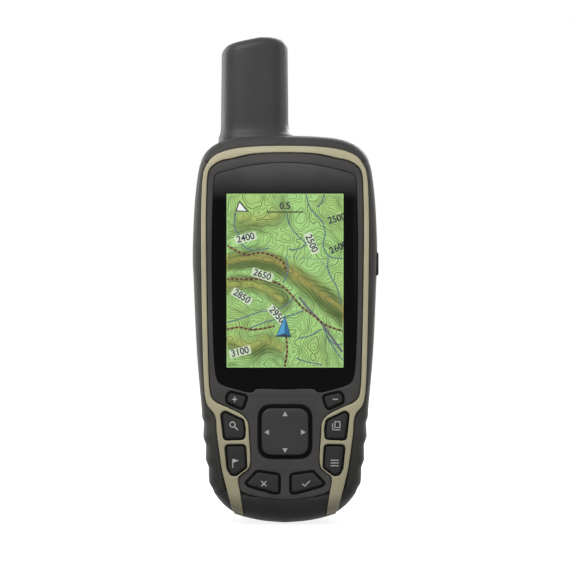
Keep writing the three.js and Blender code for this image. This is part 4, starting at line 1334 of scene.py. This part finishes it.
def antenna():
    section = smooth(SECTION + list(reversed(mirrored(SECTION))), 6)
    crown = antenna_high.z / MM
    foot = antenna_low.z / MM
    flare = [(0.0, 3.9), (1.8, 3.4), (2.3, 2.4), (2.9, 1.5), (3.7, 0.75), (4.8, 0.25), (6.2, 0.0)]
    rings = []
    for height, out in flare:
        ring = []
        for x, y in section:
            lean = 0.38 if x > 0 else 0.4
            reach = out * (0.62 + lean * x / SECTION_HALF_WIDTH)
            length = math.hypot(x, y)
            wide, deep = 1 + reach / length, 1 + 0.6 * reach / length
            ring.append((ANTENNA_X + x * wide, ANTENNA_Y + y * deep, foot + height))
        rings.append(ring)
    for share in (0.15, 0.3, 0.45, 0.6, 0.75, 0.88, 1.0):
        height = foot + 6.2 + (crown - 3.2 - foot - 6.2) * share
        scale = 1 - 0.022 * share
        rings.append([(ANTENNA_X + x * scale, ANTENNA_Y + y * scale, height) for x, y in section])
    radius = 3.2
    for step in range(1, 8):
        turn = step / 7 * math.pi / 2
        ring = []
        for x, y in section:
            length = math.hypot(x, y)
            scale = 0.978 - radius * (1 - math.cos(turn)) / length
            ring.append((ANTENNA_X + x * scale, ANTENNA_Y + y * scale, crown - radius + radius * math.sin(turn)))
        rings.append(ring)
    last = rings[-1]
    for share in (0.75, 0.5, 0.25, 0.0):
        rings.append([
            (ANTENNA_X + (x - ANTENNA_X) * share, ANTENNA_Y + (y - ANTENNA_Y) * share, z) for x, y, z in last
        ])
    slanted = []
    for ring in rings:
        slanted.append([
            (x, y, z - 2.4 * smoothstep(foot + 14, crown, z) * min(max((2 - (x - ANTENNA_X)) / 12, 0), 1))
            for x, y, z in ring
        ])
    vertices, faces = loft(slanted, True, False)
    mesh = new_mesh("antenna_shell", vertices, faces)
    return finish_mesh("antenna_shell", mesh, "body", ANTENNA, ["antenna_cover"], 60)


# ---- Back ----

def spine():
    """The T-shaped rail that a clip or bracket slides over."""
    bottom = DOOR_TOP + 10.5
    length = 26
    middle = bottom + length / 2
    head = plate_mesh("spine_head", rounded_box(14, length, 3, 0, middle), [], BACK - 0.7, BACK + 1.5, 0.45)
    finish_mesh("spine_head", head, "body", SHELL, ["rear_housing"])
    neck = plate_mesh("spine_neck", rounded_box(8, length, 1, 0, middle), [], UPPER_BACK - 1, BACK - 0.5, 0.2)
    finish_mesh("spine_neck", neck, "body", SHELL, ["rear_housing"])


def ring_profile(path, half_widths, half_depth, steps=10):
    """A closed bar along a closed path in the XZ plane, with its own half width at each point."""
    rings = []
    count = len(path)
    inward = Vector((0, 1, 0))
    for i, ((x, y, z), half_width) in enumerate(zip(path, half_widths)):
        before, after = Vector(path[i - 1]), Vector(path[(i + 1) % count])
        along = (after - before).normalized()
        across = along.cross(inward).normalized()
        ring = []
        for k in range(steps):
            turn = 2 * math.pi * k / steps
            point = Vector((x, y, z)) + across * half_width * math.cos(turn)
            ring.append(tuple(point + inward * half_depth * math.sin(turn)))
        rings.append(ring)
    rings.append(rings[0])
    return loft(rings, False, False)


def d_ring():
    low, high = (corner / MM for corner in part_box("d_ring"))
    depth = (low.y + high.y) / 2
    half_width = high.x - 0.9
    top = high.z - 0.95
    arc = []
    for k in range(25):
        turn = math.pi * k / 24
        bulge = math.sin(turn) ** 0.55
        arc.append((half_width * math.cos(turn), depth, LATCH_HEIGHT + 1 + (top - LATCH_HEIGHT - 1) * bulge))
    straight = [(half_width * (-1 + 2 * k / 14), depth, LATCH_HEIGHT) for k in range(15)]
    widths = [0.45] * len(straight) + [0.45 + 0.35 * math.sin(math.pi * k / 24) ** 0.4 for k in range(1, 24)]
    vertices, faces = ring_profile(straight + arc[1:-1], widths, 0.45, 12)
    mesh = new_mesh("ring", vertices, faces)
    finish_mesh("ring", mesh, "ring", STEEL, ["d_ring"], 60)


def weather_flap():
    """The soft cover of the data port, with a raised lip and a plug behind it."""
    low, high = (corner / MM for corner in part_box("weather_cap"))
    shape = []
    for y, drawn in ((UPPER_BACK + 0.1, 0), (high.y - 0.5, 0), (high.y - 0.31, 0.04), (high.y - 0.15, 0.15),
                     (high.y - 0.04, 0.31), (high.y, 0.5), (high.y, 1.1), (high.y - 0.1, 1.3), (high.y - 0.45, 1.5),
                     (high.y - 0.5, 1.8), (high.y - 0.5, 3.2), (high.y - 0.42, 4.4)):
        corner = max(2.5 - drawn, 0.5)
        outline = rounded_box(12 - 2 * drawn, 16 - 2 * drawn, corner, PORT_X, PORT_HEIGHT)
        shape.append([(x, y, z) for x, z in outline])
    vertices, faces = loft(shape)
    mesh = new_mesh("flap", vertices, faces)
    finish_mesh("flap", mesh, "port_flap", SEAL, ["weather_cap"], 50)
    plug = plate_mesh("flap_plug", rounded_box(6.2, 6, 1.2, PORT_X, PORT_HEIGHT), [], low.y, UPPER_BACK + 0.3, 0.2)
    finish_mesh("flap_plug", plug, "port_flap", SEAL, ["weather_cap"])
    tab = plate_mesh("flap_tab", rounded_box(5, 1.3, 0.6, PORT_X, PORT_HEIGHT - 4.6), [], high.y - 0.7, high.y, 0.25)
    finish_mesh("flap_tab", tab, "port_flap", SEAL, ["weather_cap"])


# ---- Studio ----

def studio():
    bpy.context.scene.view_settings.view_transform = "Standard"
    world = bpy.data.worlds.new("studio")
    bpy.context.scene.world = world
    world.use_nodes = True
    tree = world.node_tree
    background = tree.nodes["Background"]
    path = tree.nodes.new("ShaderNodeLightPath")
    seen = tree.nodes.new("ShaderNodeMath")
    seen.operation = "MAXIMUM"
    tree.links.new(path.outputs["Is Camera Ray"], seen.inputs[0])
    tree.links.new(path.outputs["Is Transmission Ray"], seen.inputs[1])
    mirror = tree.nodes.new("ShaderNodeMath")
    mirror.operation = "MAXIMUM"
    tree.links.new(seen.outputs[0], mirror.inputs[0])
    tree.links.new(path.outputs["Is Glossy Ray"], mirror.inputs[1])
    strength = tree.nodes.new("ShaderNodeMapRange")
    strength.inputs["To Min"].default_value = 0.3
    strength.inputs["To Max"].default_value = 1.0
    tree.links.new(mirror.outputs[0], strength.inputs["Value"])
    background.inputs["Color"].default_value = (1, 1, 1, 1)
    tree.links.new(strength.outputs["Result"], background.inputs["Strength"])
    for name, place, aim, size, power in (
        ("key_light", (-0.22, -0.34, 0.44), (0, 0, 0.09), 0.34, 2.4),
        ("fill_light", (0.45, -0.8, 0.4), (0, 0, 0.09), 0.7, 1.6),
        ("back_light", (0.3, 0.75, 0.6), (0, 0, 0.09), 0.6, 7.5),
        ("back_fill_light", (-0.7, 0.5, 0.3), (0, 0, 0.09), 0.6, 3.4),
        ("side_light", (0.8, 0.15, 0.3), (0, 0, 0.09), 0.5, 1.2),
    ):
        data = bpy.data.lights.new(name, "AREA")
        data.size = size
        data.energy = power
        lamp = bpy.data.objects.new(name, data)
        lamp.location = place
        lamp.rotation_euler = (Vector(aim) - Vector(place)).to_track_quat("-Z", "Y").to_euler()
        bpy.context.collection.objects.link(lamp)


def floor():
    mesh = bpy.data.meshes.new("floor")
    reach = 6
    corners = [(-reach, -reach, 0), (reach, -reach, 0), (reach, reach, 0), (-reach, reach, 0)]
    mesh.from_pydata(corners, [], [(0, 1, 2, 3)])
    n = Nodes("floor_paint")
    n.shader.inputs["Base Color"].default_value = (0.2, 0.2, 0.2, 1)
    n.shader.inputs["Roughness"].default_value = 0.9
    path = n.add("ShaderNodeLightPath")
    seen = n.value("MAXIMUM", path.outputs["Is Camera Ray"], path.outputs["Is Glossy Ray"])
    n.shader.inputs["Emission Color"].default_value = (1, 1, 1, 1)
    n.link(n.value("MULTIPLY", seen, 0.85), n.shader.inputs["Emission Strength"])
    mesh.materials.append(n.material)
    item = bpy.data.objects.new("floor", mesh)
    bpy.context.collection.objects.link(item)


dress_cad_nodes()
front_shell()
rear_shell()
battery_door()
side_grip(-1)
side_grip(1)
trim_frame()
key_plate()
display()
map_marks()
keys()
rocker()
power_button()
antenna()
spine()
d_ring()
weather_flap()
studio()
floor()
